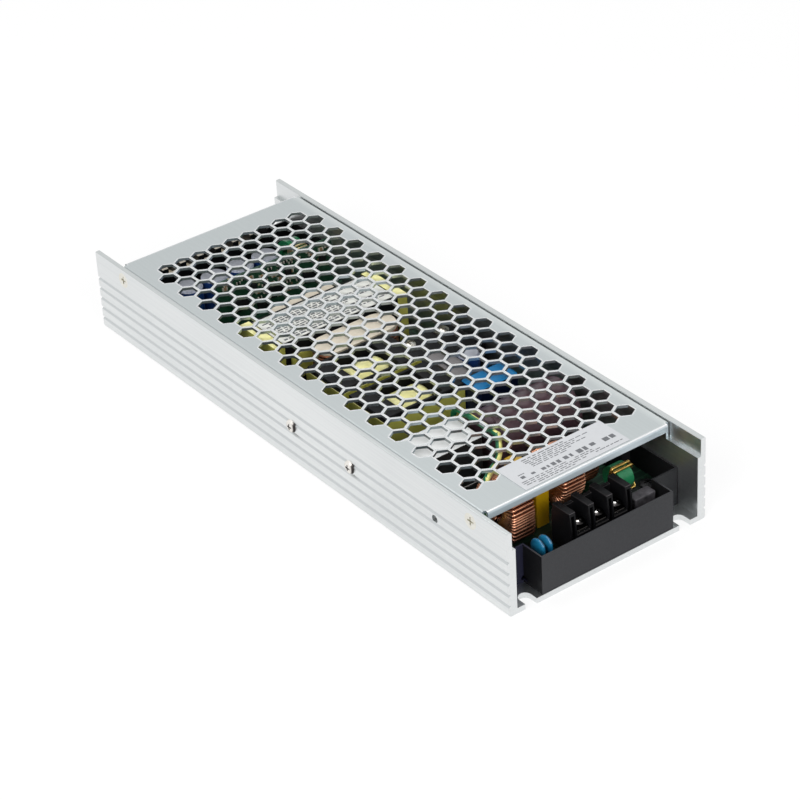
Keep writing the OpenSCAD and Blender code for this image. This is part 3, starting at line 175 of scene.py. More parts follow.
def place_mask(tree, axis, low, high):
    """0 at low and 1 at high along one axis of the frame, in millimetres"""
    place = tree.nodes.new("ShaderNodeTexCoord")
    return axis_mask(tree, place.outputs["Object"], axis, low * MM, high * MM)


def facing_mask(tree, axis, low, high):
    """0 where a face leans toward an axis by low, 1 where it leans by high"""
    surface = tree.nodes.new("ShaderNodeNewGeometry")
    return axis_mask(tree, surface.outputs["Normal"], axis, low, high)


def up_mask(tree):
    """1 on faces that look up"""
    return facing_mask(tree, Z, 0.55, 0.75)


# finishes of this supply

HIGHLIGHT_WIDTH = 0.9 * MM  # of the painted highlight along a sheared edge of the cover


def wall_painted_light(tree, colour):
    """painted light by the way faces look: faces that look down are painted brighter, a painted
    reflection of the floor; faces that look up are painted darker, painted shade, darkest above 23 mm
    """
    lit_undersides = blend_colour(tree, facing_mask(tree, Z, -0.3, -0.6), colour, tint(246, 247, 247))
    upper = blend_colour(tree, place_mask(tree, Z, 22, 23), tint(201, 205, 206), tint(188, 192, 192))
    return blend_colour(tree, up_mask(tree), lit_undersides, upper)


def cover_highlights_and_lip_shade(tree, colour):
    """painted highlights along the punched and sheared edges on the flat of the cover

    The cover is a little lighter toward its right long edge. The turned down lips are painted cooler
    and darker than the flat, painted shade that lightens from left to right.
    """
    add = tree.nodes.new
    surface, soft = add("ShaderNodeNewGeometry"), add("ShaderNodeBevel")
    lean, spread = add("ShaderNodeVectorMath"), add("ShaderNodeMapRange")
    soft.samples = 2
    soft.inputs["Radius"].default_value = HIGHLIGHT_WIDTH
    lean.operation = "DOT_PRODUCT"
    tree.links.new(surface.outputs["True Normal"], lean.inputs[0])
    tree.links.new(soft.outputs["Normal"], lean.inputs[1])
    tree.links.new(lean.outputs["Value"], spread.inputs["Value"])
    spread.inputs["From Min"].default_value = 0.9995
    spread.inputs["From Max"].default_value = 0.97
    flat = number(tree, "MULTIPLY", place_mask(tree, X, -37, -36.4), place_mask(tree, X, 37.2, 36.8))
    edge = number(tree, "MULTIPLY", spread.outputs["Result"], up_mask(tree))
    colour = blend_colour(tree, place_mask(tree, X, 34.5, 37), colour, tint(190, 195, 195))
    colour = blend_colour(tree, number(tree, "MULTIPLY", edge, flat), colour, tint(246, 244, 245))
    lip_shade = blend_colour(tree, place_mask(tree, X, -36, 36), tint(172, 185, 191), tint(194, 204, 210))
    return blend_colour(tree, facing_mask(tree, Y, -0.5, -0.9), colour, lip_shade)


def dark_sides(tree, colour):
    """the side of a proud head toward the mains end turns away from the light"""
    return blend_colour(tree, facing_mask(tree, Y, -0.25, -0.6), colour, tint(52, 49, 48))


def sheet_painted_shade(tree, colour):
    """painted shade: inside the case the sheet is painted darker, dark blue on the left wings and
    nearly black on the right wings, and faces that look toward the left wall are painted black; the
    ends keep the sheet's own colour
    """
    behind = number(tree, "MULTIPLY", place_mask(tree, Y, -112, -109), place_mask(tree, Y, 112, 109))
    across = blend_colour(tree, place_mask(tree, X, -5, 5), tint(26, 27, 48), tint(8, 9, 14))
    wing_shade = blend_colour(tree, behind, colour, across)
    return blend_colour(tree, facing_mask(tree, X, -0.5, -0.9), wing_shade, tint(7, 7, 9))


def dim_foot(tree, colour):
    """the case is in deep shade below the other parts"""
    return blend_colour(tree, place_mask(tree, Z, 11, 19), tint(150, 116, 10), colour)


def crown_light_and_turn_shade(tree, colour):
    """painted light: the top of this winding is painted bright copper, its lower turns keep the dark
    copper, painted shade
    """
    return blend_colour(tree, place_mask(tree, Z, 17, 20), colour, tint(214, 142, 98))


def tape_side_shade(tree, colour):
    """painted shade: the sides of the tape are painted olive, the tape keeps its pale yellow where it
    lies flat on top
    """
    return blend_colour(tree, up_mask(tree), tint(192, 190, 92), colour)


def shaded_disc(tree, colour):
    """painted shade: the coat keeps its blue above and on the left, and is painted nearly black below
    and on the right
    """
    low = blend_colour(tree, place_mask(tree, Z, 10.8, 14.4), tint(5, 28, 46), colour)
    return blend_colour(tree, facing_mask(tree, X, -0.35, 0.35), low, tint(5, 26, 42))


def glint_strip(tree, colour):
    """a painted glint: a pale strip along the inner edge of the output block, standing for the glints
    of the clamp screws
    """
    edge = number(tree, "MULTIPLY", up_mask(tree), place_mask(tree, Y, 103.2, 102.9))
    return blend_colour(tree, edge, colour, tint(196, 188, 172))


def edge_highlight_lines(tree, colour):
    """a painted highlight: a faint grey line along the eased upper edges"""
    edge = number(tree, "MULTIPLY", facing_mask(tree, Z, 0.3, 0.5), facing_mask(tree, Z, 0.86, 0.8))
    return blend_colour(tree, edge, colour, tint(74, 70, 72))


def terminal_glints(tree, colour):
    """painted glints: bright crowns on the clamp screws and bright front edges on their plates"""
    crown = number(tree, "MULTIPLY", facing_mask(tree, Z, 0.955, 0.985),
                   place_mask(tree, Z, 15.4, 16.0))
    front = number(tree, "MULTIPLY", facing_mask(tree, Y, -0.6, -0.8),
                   place_mask(tree, Z, 14.6, 14.4))
    return blend_colour(tree, number(tree, "ADD", crown, front), colour, tint(252, 250, 245))


def dim_turns(tree, colour):
    """the lower turns of the first line choke, in the shade of the end of the wall"""
    low = number(tree, "MULTIPLY", place_mask(tree, Z, 17, 10), place_mask(tree, X, -11.4, -12.2))
    return blend_colour(tree, low, colour, tint(124, 80, 62))


def blue_side_shade(tree, colour):
    """painted shade: the sides are painted nearly black, the top keeps its blue"""
    return blend_colour(tree, up_mask(tree), tint(6, 18, 44), colour)


def white_top(tree, colour):
    """a pale top on a dark case"""
    return blend_colour(tree, up_mask(tree), colour, tint(230, 231, 230))


def board_lines_and_shade(tree, colour):
    """paler copper runs under the solder mask, and painted shade that darkens the board toward the
    mains end
    """
    place, brick = tree.nodes.new("ShaderNodeTexCoord"), tree.nodes.new("ShaderNodeTexBrick")
    brick.inputs["Scale"].default_value = 140
    brick.inputs["Mortar Size"].default_value = 0.03
    brick.inputs["Brick Width"].default_value = 1.3
    brick.inputs["Row Height"].default_value = 0.45
    brick.offset = 0.37
    tree.links.new(place.outputs["Object"], brick.inputs["Vector"])
    lined = blend_colour(tree, brick.outputs["Fac"], colour, tint(44, 84, 62))
    return blend_colour(tree, place_mask(tree, Y, -98, -90), tint(11, 22, 17), lined)


def control_pads(tree, colour):
    """solder pads and small chips scattered over the control board"""
    place, cells, pick = (tree.nodes.new("ShaderNodeTexCoord"), tree.nodes.new("ShaderNodeTexVoronoi"),
                          tree.nodes.new("ShaderNodeMapRange"))
    cells.distance = "CHEBYCHEV"
    cells.inputs["Scale"].default_value = 420
    cells.inputs["Randomness"].default_value = 0.8
    tree.links.new(place.outputs["Object"], cells.inputs["Vector"])
    tree.links.new(cells.outputs["Distance"], pick.inputs["Value"])
    pick.inputs["From Min"].default_value = 0.2
    pick.inputs["From Max"].default_value = 0.16
    split, chosen = tree.nodes.new("ShaderNodeSeparateColor"), tree.nodes.new("ShaderNodeMapRange")
    tree.links.new(cells.outputs["Color"], split.inputs[0])
    tree.links.new(split.outputs[0], chosen.inputs["Value"])
    chosen.inputs["From Min"].default_value = 0.6
    chosen.inputs["From Max"].default_value = 0.66
    kind = blend_colour(tree, ranged(tree, split.outputs[1], 0, 1),
                        tint(206, 196, 168), tint(96, 74, 54))
    pads = number(tree, "MULTIPLY", pick.outputs["Result"], chosen.outputs["Result"])
    return blend_colour(tree, pads, board_lines_and_shade(tree, colour), kind)


def silver_top(tree, colour):
    """bare metal above the sleeve"""
    return blend_colour(tree, up_mask(tree), colour, tint(172, 175, 184))


EXTRUSION = finish_surface(
    "anodised_extrusion", tint(227, 229, 229), tint(216, 219, 220),
    rough=(0.3, 0.4), metallic=1.0, fine=1500, stretch=(1, 0.015, 1), broad=14, bump=0.25,
    extra=wall_painted_light)
COVER = finish_surface(
    "cover_sheet", tint(181, 187, 188), tint(172, 178, 179),
    rough=(0.32, 0.42), metallic=1.0, fine=1200, stretch=(1, 0.05, 1), broad=18, bump=0.12,
    extra=cover_highlights_and_lip_shade)
SCREW = finish_surface(
    "plated_screw", tint(206, 203, 194), tint(168, 162, 150),
    rough=(0.22, 0.4), metallic=1.0, fine=1500, broad=300)
COVER_SCREW = finish_surface(
    "cover_screw_steel", tint(231, 230, 223), tint(220, 217, 206),
    rough=(0.3, 0.42), metallic=1.0, fine=1500, broad=300)
WALL_SCREW = finish_surface(
    "wall_screw_steel", tint(236, 233, 228), tint(212, 208, 202),
    rough=(0.3, 0.45), metallic=0.8, fine=1500, broad=300, extra=dark_sides)
# black oxide steel for the board screws, and painted shade in the recesses of the wall screw heads
BLACK_STEEL_AND_RECESS_SHADE = finish_surface(
    "black_screw_and_recess_shade", tint(30, 30, 32), tint(22, 22, 24),
    rough=(0.35, 0.5), metallic=0.3, fine=1500, broad=300)
LABEL = finish_surface(
    "label_film", tint(192, 194, 197), tint(185, 187, 190),
    rough=(0.35, 0.45), metallic=0.2, fine=700, bump=0.03)
INSULATOR = finish_surface(
    "insulating_sheet", tint(32, 33, 37), tint(24, 25, 29),
    rough=(0.42, 0.55), fine=1600, bump=0.2, shine=0.4, extra=sheet_painted_shade)
MOULDING = finish_surface(
    "terminal_moulding", tint(14, 14, 16), tint(9, 9, 11),
    rough=(0.35, 0.5), fine=2200, bump=0.2, shine=0.15, extra=edge_highlight_lines)
OUTPUT_MOULDING = finish_surface(
    "output_moulding", tint(14, 14, 16), tint(9, 9, 11),
    rough=(0.35, 0.5), fine=2200, bump=0.2, extra=glint_strip)
# the nickel is painted dark grey, a painted reflection of the dark inside of the terminal block
TERMINAL_METAL = finish_surface(
    "nickel_plate", tint(58, 56, 56), tint(40, 39, 39),
    rough=(0.12, 0.24), metallic=1.0, fine=1300, broad=350, extra=terminal_glints)
BRIGHT_PLATE = finish_surface(
    "bright_plate", tint(238, 228, 204), tint(208, 194, 164),
    rough=(0.38, 0.52), metallic=0.3, fine=1300, broad=350)
DIPPED_BLUE = finish_surface(
    "dipped_blue", tint(34, 126, 164), tint(14, 94, 136),
    rough=(0.25, 0.36), fine=500, broad=420, bump=0.1, coat=0.2, extra=shaded_disc)
FERRITE = finish_surface(
    "ferrite", tint(20, 20, 22), tint(13, 13, 15),
    rough=(0.5, 0.7), fine=1500, bump=0.35, shine=0.15)
COPPER = finish_surface(
    "copper_enamel", tint(232, 170, 136), tint(194, 130, 98),
    rough=(0.24, 0.36), metallic=0.95, fine=800, broad=220, bump=0.05, coat=0.3, extra=dim_turns)
DARK_COPPER = finish_surface(
    "dark_copper_enamel", tint(134, 82, 54), tint(98, 56, 38),
    rough=(0.28, 0.42), metallic=0.8, fine=800, broad=200, bump=0.05, coat=0.3)
# the third choke's copper is painted dark, painted shade under the cover, with its top painted bright
SHADED_COPPER = finish_surface(
    "shaded_copper_enamel", tint(124, 76, 50), tint(90, 52, 36),
    rough=(0.28, 0.42), metallic=0.8, fine=800, broad=200, bump=0.05, coat=0.3, extra=crown_light_and_turn_shade)
PALE_GOLD = finish_surface(
    "pale_gold_enamel", tint(226, 212, 172), tint(198, 178, 132),
    rough=(0.25, 0.38), metallic=0.7, fine=900, broad=260, bump=0.05, coat=0.3)
GREEN_CORE = finish_surface(
    "green_core_coat", tint(46, 138, 90), tint(30, 110, 72),
    rough=(0.25, 0.4), fine=700, broad=200, bump=0.12, coat=0.2, shine=0.3)
GOLD_WIRE = finish_surface(
    "gold_enamel", tint(208, 176, 96), tint(168, 132, 58),
    rough=(0.22, 0.36), metallic=0.9, fine=900, broad=260, bump=0.05, coat=0.4)
YELLOW_CASE = finish_surface(
    "yellow_case", tint(204, 164, 16), tint(186, 144, 8),
    rough=(0.3, 0.42), fine=1100, broad=120, bump=0.08, coat=0.2, extra=dim_foot)
PACKAGE = finish_surface(
    "moulded_package", tint(22, 22, 24), tint(15, 15, 17),
    rough=(0.45, 0.6), fine=1800, bump=0.3, shine=0.2)
SLEEVE = finish_surface(
    "shrink_sleeve", tint(84, 82, 86), tint(32, 31, 34),
    rough=(0.35, 0.5), fine=700, broad=260, bump=0.4, shine=0.3)
RELAY_CASE = finish_surface(
    "relay_case", tint(44, 45, 47), tint(34, 35, 37),
    rough=(0.35, 0.48), fine=1000, broad=90, extra=white_top)
EARTH_GREEN = finish_surface(
    "earth_green", tint(18, 104, 66), tint(12, 86, 54),
    rough=(0.3, 0.42), fine=900, broad=200)
EARTH_YELLOW = finish_surface(
    "earth_yellow", tint(226, 220, 140), tint(206, 198, 110),
    rough=(0.3, 0.42), fine=900, broad=200)
# painted shade: the maroon is darkened to about half for the shade inside the case
MAROON = finish_surface(
    "maroon_sleeve", tint(82, 60, 67), tint(62, 44, 51),
    rough=(0.3, 0.42), fine=700, broad=60, bump=0.08, coat=0.1, shine=0.3)
BLUE_CASE = finish_surface(
    "blue_case", tint(14, 116, 172), tint(8, 100, 152),
    rough=(0.3, 0.42), fine=600, broad=110, bump=0.1, extra=blue_side_shade, shine=0.2)
TAPE = finish_surface(
    "yellow_tape", tint(250, 246, 182), tint(238, 232, 150),
    rough=(0.25, 0.38), fine=500, stretch=(0.2, 1, 1), broad=120, bump=0.12, coat=0.1, extra=tape_side_shade)
BLACK_SINK = finish_surface(
    "black_sink", tint(14, 14, 16), tint(9, 9, 11),
    rough=(0.4, 0.55), metallic=0.1, fine=1300, stretch=(0.05, 1, 1), broad=40, bump=0.2, shine=0.15)
GREY_SINK = finish_surface(
    "grey_sink", tint(128, 124, 124), tint(108, 105, 106),
    rough=(0.45, 0.6), metallic=0.5, fine=1300, stretch=(1, 0.05, 1), broad=40, bump=0.2)
BAR = finish_surface(
    "plain_bar", tint(188, 190, 190), tint(168, 170, 170),
    rough=(0.35, 0.5), metallic=0.9, fine=1300, stretch=(1, 0.05, 1), broad=60, bump=0.2)
BOBBIN = finish_surface(
    "cream_bobbin", tint(224, 214, 196), tint(209, 198, 179),
    rough=(0.4, 0.55), fine=1200, broad=120)
WHITE_LABEL = finish_surface(
    "white_label", tint(232, 232, 226), tint(220, 220, 214),
    rough=(0.45, 0.55), fine=900, bump=0.04)
MARKS = finish_surface(
    "label_marks", tint(100, 102, 106), tint(84, 86, 90),
    rough=(0.5, 0.6), fine=900, bump=0.02)
CONTROL = finish_surface(
    "control_solder_mask", tint(34, 78, 55), tint(22, 54, 39),
    rough=(0.3, 0.42), fine=900, broad=90, bump=0.1, coat=0.1, extra=control_pads, shine=0.3)
BOARD = finish_surface(
    "solder_mask", tint(24, 56, 40), tint(17, 42, 30),
    rough=(0.3, 0.42), fine=900, broad=60, bump=0.1, coat=0.1, extra=board_lines_and_shade, shine=0.3)
CAN = finish_surface(
    "capacitor_can", tint(40, 80, 150), tint(30, 62, 126),
    rough=(0.25, 0.36), metallic=0.25, fine=700, broad=120, bump=0.05, coat=0.2, extra=silver_top)
CHIP_BROWN = finish_surface(
    "chip_ceramic", tint(156, 128, 96), tint(128, 100, 72),
    rough=(0.4, 0.5), fine=1500, broad=300)
SOLDER = finish_surface(
    "solder_tin", tint(226, 222, 210), tint(196, 192, 180),
    rough=(0.35, 0.5), metallic=0.5, fine=1500, broad=300)

NODE_FINISH = {
    "chassis": EXTRUSION, "top_cover": COVER, "cover_screws": COVER_SCREW, "wall_screws": WALL_SCREW,
    "rating_label": LABEL, "base_insulator": INSULATOR, "mains_insulator": INSULATOR,
    "output_insulator": INSULATOR, "main_board": BOARD, "board_standoffs": SCREW,
    "board_screws": BLACK_STEEL_AND_RECESS_SHADE, "mains_terminal": MOULDING, "mains_plates": TERMINAL_METAL,
    "mains_screws": TERMINAL_METAL, "disc_capacitors": DIPPED_BLUE, "line_choke_a_core": FERRITE,
    "line_choke_a_winding": COPPER, "line_choke_b_core": FERRITE, "line_choke_b_winding": COPPER,
    "line_choke_c_core": FERRITE, "line_choke_c_winding": SHADED_COPPER, "bias_capacitor": CAN,
    "green_choke_core": GREEN_CORE, "green_choke_winding": GOLD_WIRE, "box_capacitor": YELLOW_CASE,
    "input_fuse": SLEEVE, "relay": RELAY_CASE, "earth_wire": EARTH_YELLOW, "bulk_capacitor": MAROON,
    "film_capacitor": BLUE_CASE, "boost_choke_cores": FERRITE, "boost_choke_windings": TAPE,
    "boost_choke_tapes": TAPE, "primary_heatsink": BLACK_SINK, "bridge_heatsink": GREY_SINK,
    "heatsink_screws": SCREW, "power_transistors": PACKAGE, "wall_transistors": PACKAGE,
    "clamp_bar": BAR, "series_bobbin": BOBBIN, "series_winding": DARK_COPPER,
    "transformer_core": FERRITE, "transformer_winding": TAPE, "transformer_tape": TAPE,
    "transformer_bobbin": BOBBIN, "transformer_label": WHITE_LABEL, "control_board": CONTROL,
    "small_parts": PACKAGE, "output_capacitors": CAN, "output_choke_core": GREEN_CORE,
    "output_choke_winding": PALE_GOLD, "output_terminal": OUTPUT_MOULDING,
    "output_plates": BRIGHT_PLATE, "output_screws": BRIGHT_PLATE,
}
for name, finish in NODE_FINISH.items():
    for holder in nodes[name].material_slots:
        holder.material = finish


# new pieces

WIRE_SIDES = 8
BEND_STEPS = 3
TURN_SPACING = 1.18  # pitch of the turns, in thicknesses of the wire
GATHERED_SPACING = 0.8
SLACK_LIMIT = 1.32  # how far a gathered turn may reach, in reaches of a tight one
TURN_SCATTER = 0.006  # radians
WIRE_FILL = 0.97  # drawn thickness, in thicknesses of the wire
WIRE_BEND = 0.7  # radius of a bend, in thicknesses of the wire
FLAT_ANGLE = math.radians(0.5)  # faces that meet at less than this become one
SHARP_ANGLE = math.radians(28)  # edges sharper than this are eased


def add_piece(name, bm, *finishes, smooth=True, stands_for=(), slot=None):
    mesh = bpy.data.meshes.new(name)
    bm.to_mesh(mesh)
    bm.free()
    for finish in finishes:
        mesh.materials.append(finish)
    if smooth:
        mesh.shade_smooth()
    piece = bpy.data.objects.new(name, mesh)
    bpy.context.scene.collection.objects.link(piece)
    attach(piece, "root")
    if stands_for:
        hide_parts(*stands_for)


def copy_of_node(node):
    """a CAD piece's mesh with its flat faces whole"""
    bm = bmesh.new()
    bm.from_mesh(nodes[node].data)
    bmesh.ops.remove_doubles(bm, verts=bm.verts, dist=MERGE)
    bmesh.ops.dissolve_limit(bm, angle_limit=FLAT_ANGLE, verts=bm.verts, edges=bm.edges)
    return bm


def round_over(bm, edges, offset, segments):
    bmesh.ops.bevel(bm, geom=edges, offset=offset, offset_type="OFFSET", segments=segments,
                    profile=0.5, affect="EDGES", clamp_overlap=True, material=-1)


def ring_edges(verts):
    """the edges between the points of one ring of wire"""
    inside = set(verts)
    return list({e for v in verts for e in v.link_edges if inside.issuperset(e.verts)})


def run_on(bm, verts, step):
    """carry a ring of wire straight on"""
    made = bmesh.ops.extrude_edge_only(bm, edges=ring_edges(verts))["geom"]
    fresh = [g for g in made if isinstance(g, bmesh.types.BMVert)]
    bmesh.ops.translate(bm, verts=fresh, vec=step)
    return fresh


def turn_on(bm, verts, centre, angle, steps):
    """carry a ring of wire round a bend about the Z axis"""
    made = bmesh.ops.spin(bm, geom=list(verts) + ring_edges(verts), cent=centre, axis=(0, 0, 1),
                          angle=angle, steps=steps)["geom_last"]
    return [g for g in made if isinstance(g, bmesh.types.BMVert)]


def start_wire(bm, place, radius):
    """a ring of wire that looks along X"""
    turn = Matrix.Translation(place) @ Matrix.Rotation(math.pi / 2, 4, "Y")
    return bmesh.ops.create_circle(bm, segments=WIRE_SIDES, radius=radius, matrix=turn)["verts"]


def close_wire(bm):
    """join the ends of each turn"""
    bmesh.ops.remove_doubles(bm, verts=bm.verts, dist=MERGE)
    bmesh.ops.recalc_face_normals(bm, faces=bm.faces)


def wire_turn(bm, half_x, low, high, wire, bend):
    """one turn round a ring core: a rounded loop in the XY plane, from radius low to high along Y"""
    before = set(bm.verts)
    right, left = half_x - bend, bend - half_x
    across, along, corner = 2 * (half_x - bend), high - low - 2 * bend, math.pi / 2
    ring = start_wire(bm, (right, low, 0), wire / 2)
    ring = turn_on(bm, ring, (right, low + bend, 0), corner, BEND_STEPS)
    ring = run_on(bm, ring, (0, along, 0))
    ring = turn_on(bm, ring, (right, high - bend, 0), corner, BEND_STEPS)
    ring = run_on(bm, ring, (-across, 0, 0))
    ring = turn_on(bm, ring, (left, high - bend, 0), corner, BEND_STEPS)
    ring = run_on(bm, ring, (0, -along, 0))
    ring = turn_on(bm, ring, (left, low + bend, 0), corner, BEND_STEPS)
    run_on(bm, ring, (across, 0, 0))
    return [v for v in bm.verts if v not in before]


def wound_ring(name, core, bore, wire, arcs, finish, stands_for, slot, loose=0.0, gathered=()):
    """round wire on an upright ring core, turn by turn over arcs in degrees

    Arcs run from the output side over the top to the mains side and down. Gathered turns are
    slack and reach out to the front and down to the board. Bore, wire and loose are millimetres.
    """
    low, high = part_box(core)
    centre = (low + high) / 2
    bore, wire, loose = bore * MM, wire * MM, loose * MM
    outer, half_x = (high.z - low.z) / 2, (high.x - low.x) / 2
    reach = outer + wire / 2
    runs = [(arc, TURN_SPACING, False) for arc in arcs]
    runs += [(arc, GATHERED_SPACING, True) for arc in gathered]
    bm = bmesh.new()
    for arc, spacing, slack in runs:
        start, end = (math.radians(v) for v in arc)
        pitch = wire * spacing / reach
        gaps = int((end - start) / pitch + 1e-6)
        for i in range(gaps + 1):
            angle = start + (end - start) * i / gaps + random.uniform(-TURN_SCATTER, TURN_SCATTER)
            far = reach
            if slack:
                below = angle - math.pi
                far = min(reach / max(math.cos(below), math.sin(below)), reach * SLACK_LIMIT)
            verts = wire_turn(bm, half_x + wire / 2 + loose, bore - wire / 2, far,
                              wire * WIRE_FILL, wire * WIRE_BEND)
            bmesh.ops.rotate(bm, verts=verts, cent=(0, 0, 0), matrix=Matrix.Rotation(angle, 3, "X"))
    close_wire(bm)
    bmesh.ops.translate(bm, verts=bm.verts, vec=centre)
    add_piece(name, bm, finish, stands_for=stands_for, slot=slot)


for letter, bore, finish, end, gathered in (("a", 4.54, COPPER, 180, [(186, 246)]),
                                            ("b", 4.54, COPPER, 248, []),
                                            ("c", 3.84, SHADED_COPPER, 248, [])):
    choke = f"line_choke_{letter}"
    wound_ring(f"{choke}_wire", f"{choke}_core", bore, 1.2, [(-90, end)], finish,
               [f"{choke}_winding"], "copper_wire", gathered=gathered)
wound_ring("green_choke_wire", "green_choke_core", 2.14, 1.1, [(101, 118), (220, 254)], GOLD_WIRE,
           ["green_choke_winding"], "gold_wire", loose=0.5)
wound_ring("output_choke_wire", "output_choke_core", 3.34, 0.9, [(112, 152), (230, 270)], PALE_GOLD,
           ["output_choke_winding"], "copper_wire")


def disc_capacitor_pair():
    """two dipped discs, each drawn out and thinner toward the mains end below, on two legs"""
    low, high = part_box("disc_capacitors")
    thick, radius = 2.2 * MM, 3.6 * MM
    leg_thin, leg_thick, leg_high, leg_reach = 0.35 * MM, 1.1 * MM, 2.6 * MM, 2.4 * MM
    diagonal = math.sqrt(2)
    bm = bmesh.new()
    for x in (low.x + thick / 2, high.x - thick / 2 - 0.6 * MM):
        centre = Vector((x, (low.y + high.y) / 2, high.z - radius))
        disc = bmesh.ops.create_uvsphere(bm, u_segments=32, v_segments=20, radius=1)["verts"]
        for v in disc:
            drawn = max(0.0, -(v.co.y + v.co.z) / diagonal)
            aside = (v.co.y - v.co.z) / diagonal * (1 - 0.5 * drawn ** 2)
            ahead = (v.co.y + v.co.z) / diagonal * (1 + 0.22 * drawn)
            v.co.x = math.copysign(abs(v.co.x) ** 0.75, v.co.x) * thick / 2 * (1 - 0.45 * drawn ** 2)
            v.co.y = (ahead + aside) / diagonal * radius
            v.co.z = (ahead - aside) / diagonal * radius
        bmesh.ops.translate(bm, verts=disc, vec=centre)
        for side in (-leg_reach, leg_reach):
            leg = bmesh.ops.create_cone(bm, cap_ends=True, segments=12, radius1=leg_thin,
                                        radius2=leg_thick, depth=leg_high)["verts"]
            bmesh.ops.translate(bm, verts=leg, vec=(x, centre.y + side, low.z + leg_high / 2))
    add_piece("disc_capacitor_coats", bm, DIPPED_BLUE, stands_for=["disc_capacitors"],
              slot="blue_coating")


disc_capacitor_pair()


def softened(node, width, slot):
    """a copy of a CAD piece with its sharp edges eased"""
    bm = copy_of_node(node)
    sharp = [e for e in bm.edges if len(e.link_faces) == 2 and e.calc_face_angle(0) > SHARP_ANGLE]
    round_over(bm, sharp, width * MM, 2)
    add_piece(node + "_eased", bm, NODE_FINISH[node], smooth=False, stands_for=[node], slot=slot)


for node, width, slot in (
        ("mains_terminal", 0.22, "terminal_plastic"), ("output_terminal", 0.22, "terminal_plastic"),
        ("mains_plates", 0.12, "terminal_metal"), ("output_plates", 0.12, "terminal_metal"),
        ("box_capacitor", 0.5, "yellow_case"), ("input_fuse", 0.4, "black_package"),
        ("relay", 0.22, "relay_case"), ("film_capacitor", 1.2, "blue_case"),
        ("power_transistors", 0.2, "black_package"), ("wall_transistors", 0.2, "black_package"),
        ("small_parts", 0.2, "black_package"), ("transformer_winding", 0.8, "yellow_tape"),
        ("transformer_core", 0.3, "ferrite"), ("boost_choke_cores", 0.3, "ferrite")):
    softened(node, width, slot)


def wall_screw_heads():
    """pan heads with a well rounded rim and a recess painted black as shade, smaller and flatter than
    the CAD's
    """
    low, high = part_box("wall_screws")
    head_radius, head_high, rim_round = 2.4 * MM, 1.58 * MM, 1.15 * MM
    recess_radius, recess_floor = 1.35 * MM, 0.5 * MM
    width_scale, height_scale = 0.86, 0.68
    wall = low.x + head_high
    middle_y, middle_z = (low.y + high.y) / 2, (low.z + high.z) / 2

    def axis_y(point):
        return high.y - head_radius if point.y > middle_y else low.y + head_radius

    def away(point):
        return math.hypot(point.y - axis_y(point), point.z - middle_z)

    def on_rim(point):
        return point.x < low.x + 0.01 * MM and away(point) > head_radius - 0.1 * MM

    bm = copy_of_node("wall_screws")
    rim = [edge for edge in bm.edges if all(on_rim(v.co) for v in edge.verts)]
    round_over(bm, rim, rim_round, 6)
    bm.normal_update()
    # the faces of the recess take the black steel, painted shade in the recess
    for face in bm.faces:
        spot = face.calc_center_median()
        deep = abs(face.normal.x) < 0.3 or spot.x > low.x + recess_floor
        face.material_index = int(deep and away(spot) < recess_radius and spot.x < wall - 0.08 * MM)
    for v in bm.verts:
        if v.co.x < wall - 0.05 * MM:
            centre = axis_y(v.co)
            v.co.x = wall + (v.co.x - wall) * height_scale
            v.co.y = centre + (v.co.y - centre) * width_scale
            v.co.z = middle_z + (v.co.z - middle_z) * width_scale
    add_piece("wall_screw_heads", bm, WALL_SCREW, BLACK_STEEL_AND_RECESS_SHADE, smooth=False,
              stands_for=["wall_screws"], slot="screw_steel")


wall_screw_heads()


def board_chips():
    """small surface parts on the face of the upright control board that looks to the mains end"""
    low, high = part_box("control_board")
    bodies, ends, blacks = bmesh.new(), bmesh.new(), bmesh.new()
    sizes = {"chip": (2.0, 1.2, 0.8), "black": (1.7, 0.9, 0.6), "block": (4.2, 3.4, 1.5)}
    tries, margin, edge, gap = 400, 1.4, 0.4, 0.3
    # left, right, bottom and top of the places that stay free, then of each chip
    taken = [(-14.0, -1.0, 6.0, 21.0), (20.0, 33.5, 6.0, 21.0)]

    def chip(bm, x, z, wide, tall, deep, ease):
        before = set(bm.verts)
        bmesh.ops.create_cube(bm, size=1)
        fresh = [v for v in bm.verts if v not in before]
        bmesh.ops.scale(bm, verts=fresh, vec=(wide * MM, deep * MM, tall * MM))
        bmesh.ops.translate(bm, verts=fresh, vec=(x * MM, low.y - deep / 2 * MM, z * MM))
        round_over(bm, list({e for v in fresh for e in v.link_edges}), ease * MM, 1)

    for _ in range(tries):
        x = random.uniform(low.x / MM + margin, high.x / MM - margin)
        z = random.uniform(10.5, high.z / MM - 1.2)
        kind = random.choice(("chip", "chip", "black", "block"))
        wide, tall, deep = sizes[kind]
        left, right, bottom, top = x - wide / 2, x + wide / 2, z - tall / 2, z + tall / 2
        if top > high.z / MM - edge or right > high.x / MM - edge:
            continue
        if any(right + gap > a and left - gap < b and top + gap > c and bottom - gap < d
               for a, b, c, d in taken):
            continue
        taken.append((left, right, bottom, top))
        if kind == "block":
            chip(blacks, x, z, wide, tall, deep, 0.15)
            continue
        chip(bodies if kind == "chip" else blacks, x, z, wide * 0.5, tall, deep, 0.06)
        for side in (-1, 1):
            chip(ends, x + side * wide * 0.375, z, wide * 0.25, tall, deep, 0.06)
    add_piece("control_chip_bodies", bodies, CHIP_BROWN, smooth=False, slot="board_laminate")
    add_piece("control_chip_ends", ends, SOLDER, smooth=False, slot="terminal_metal")
    add_piece("control_black_chips", blacks, PACKAGE, smooth=False, slot="black_package")


board_chips()


def smooth_route(points, steps=6):
    """points on one smooth curve through the route"""
    route = []
    padded = [points[0]] + points + [points[-1]]
    for a, b, c, d in zip(padded, padded[1:], padded[2:], padded[3:]):
        for k in range(steps):
            t = k / steps
            route.append(0.5 * ((2 * b) + (c - a) * t + (2 * a - 5 * b + 4 * c - d) * t * t
                                + (3 * b - a - 3 * c + d) * t ** 3))
    return route + [points[-1]]


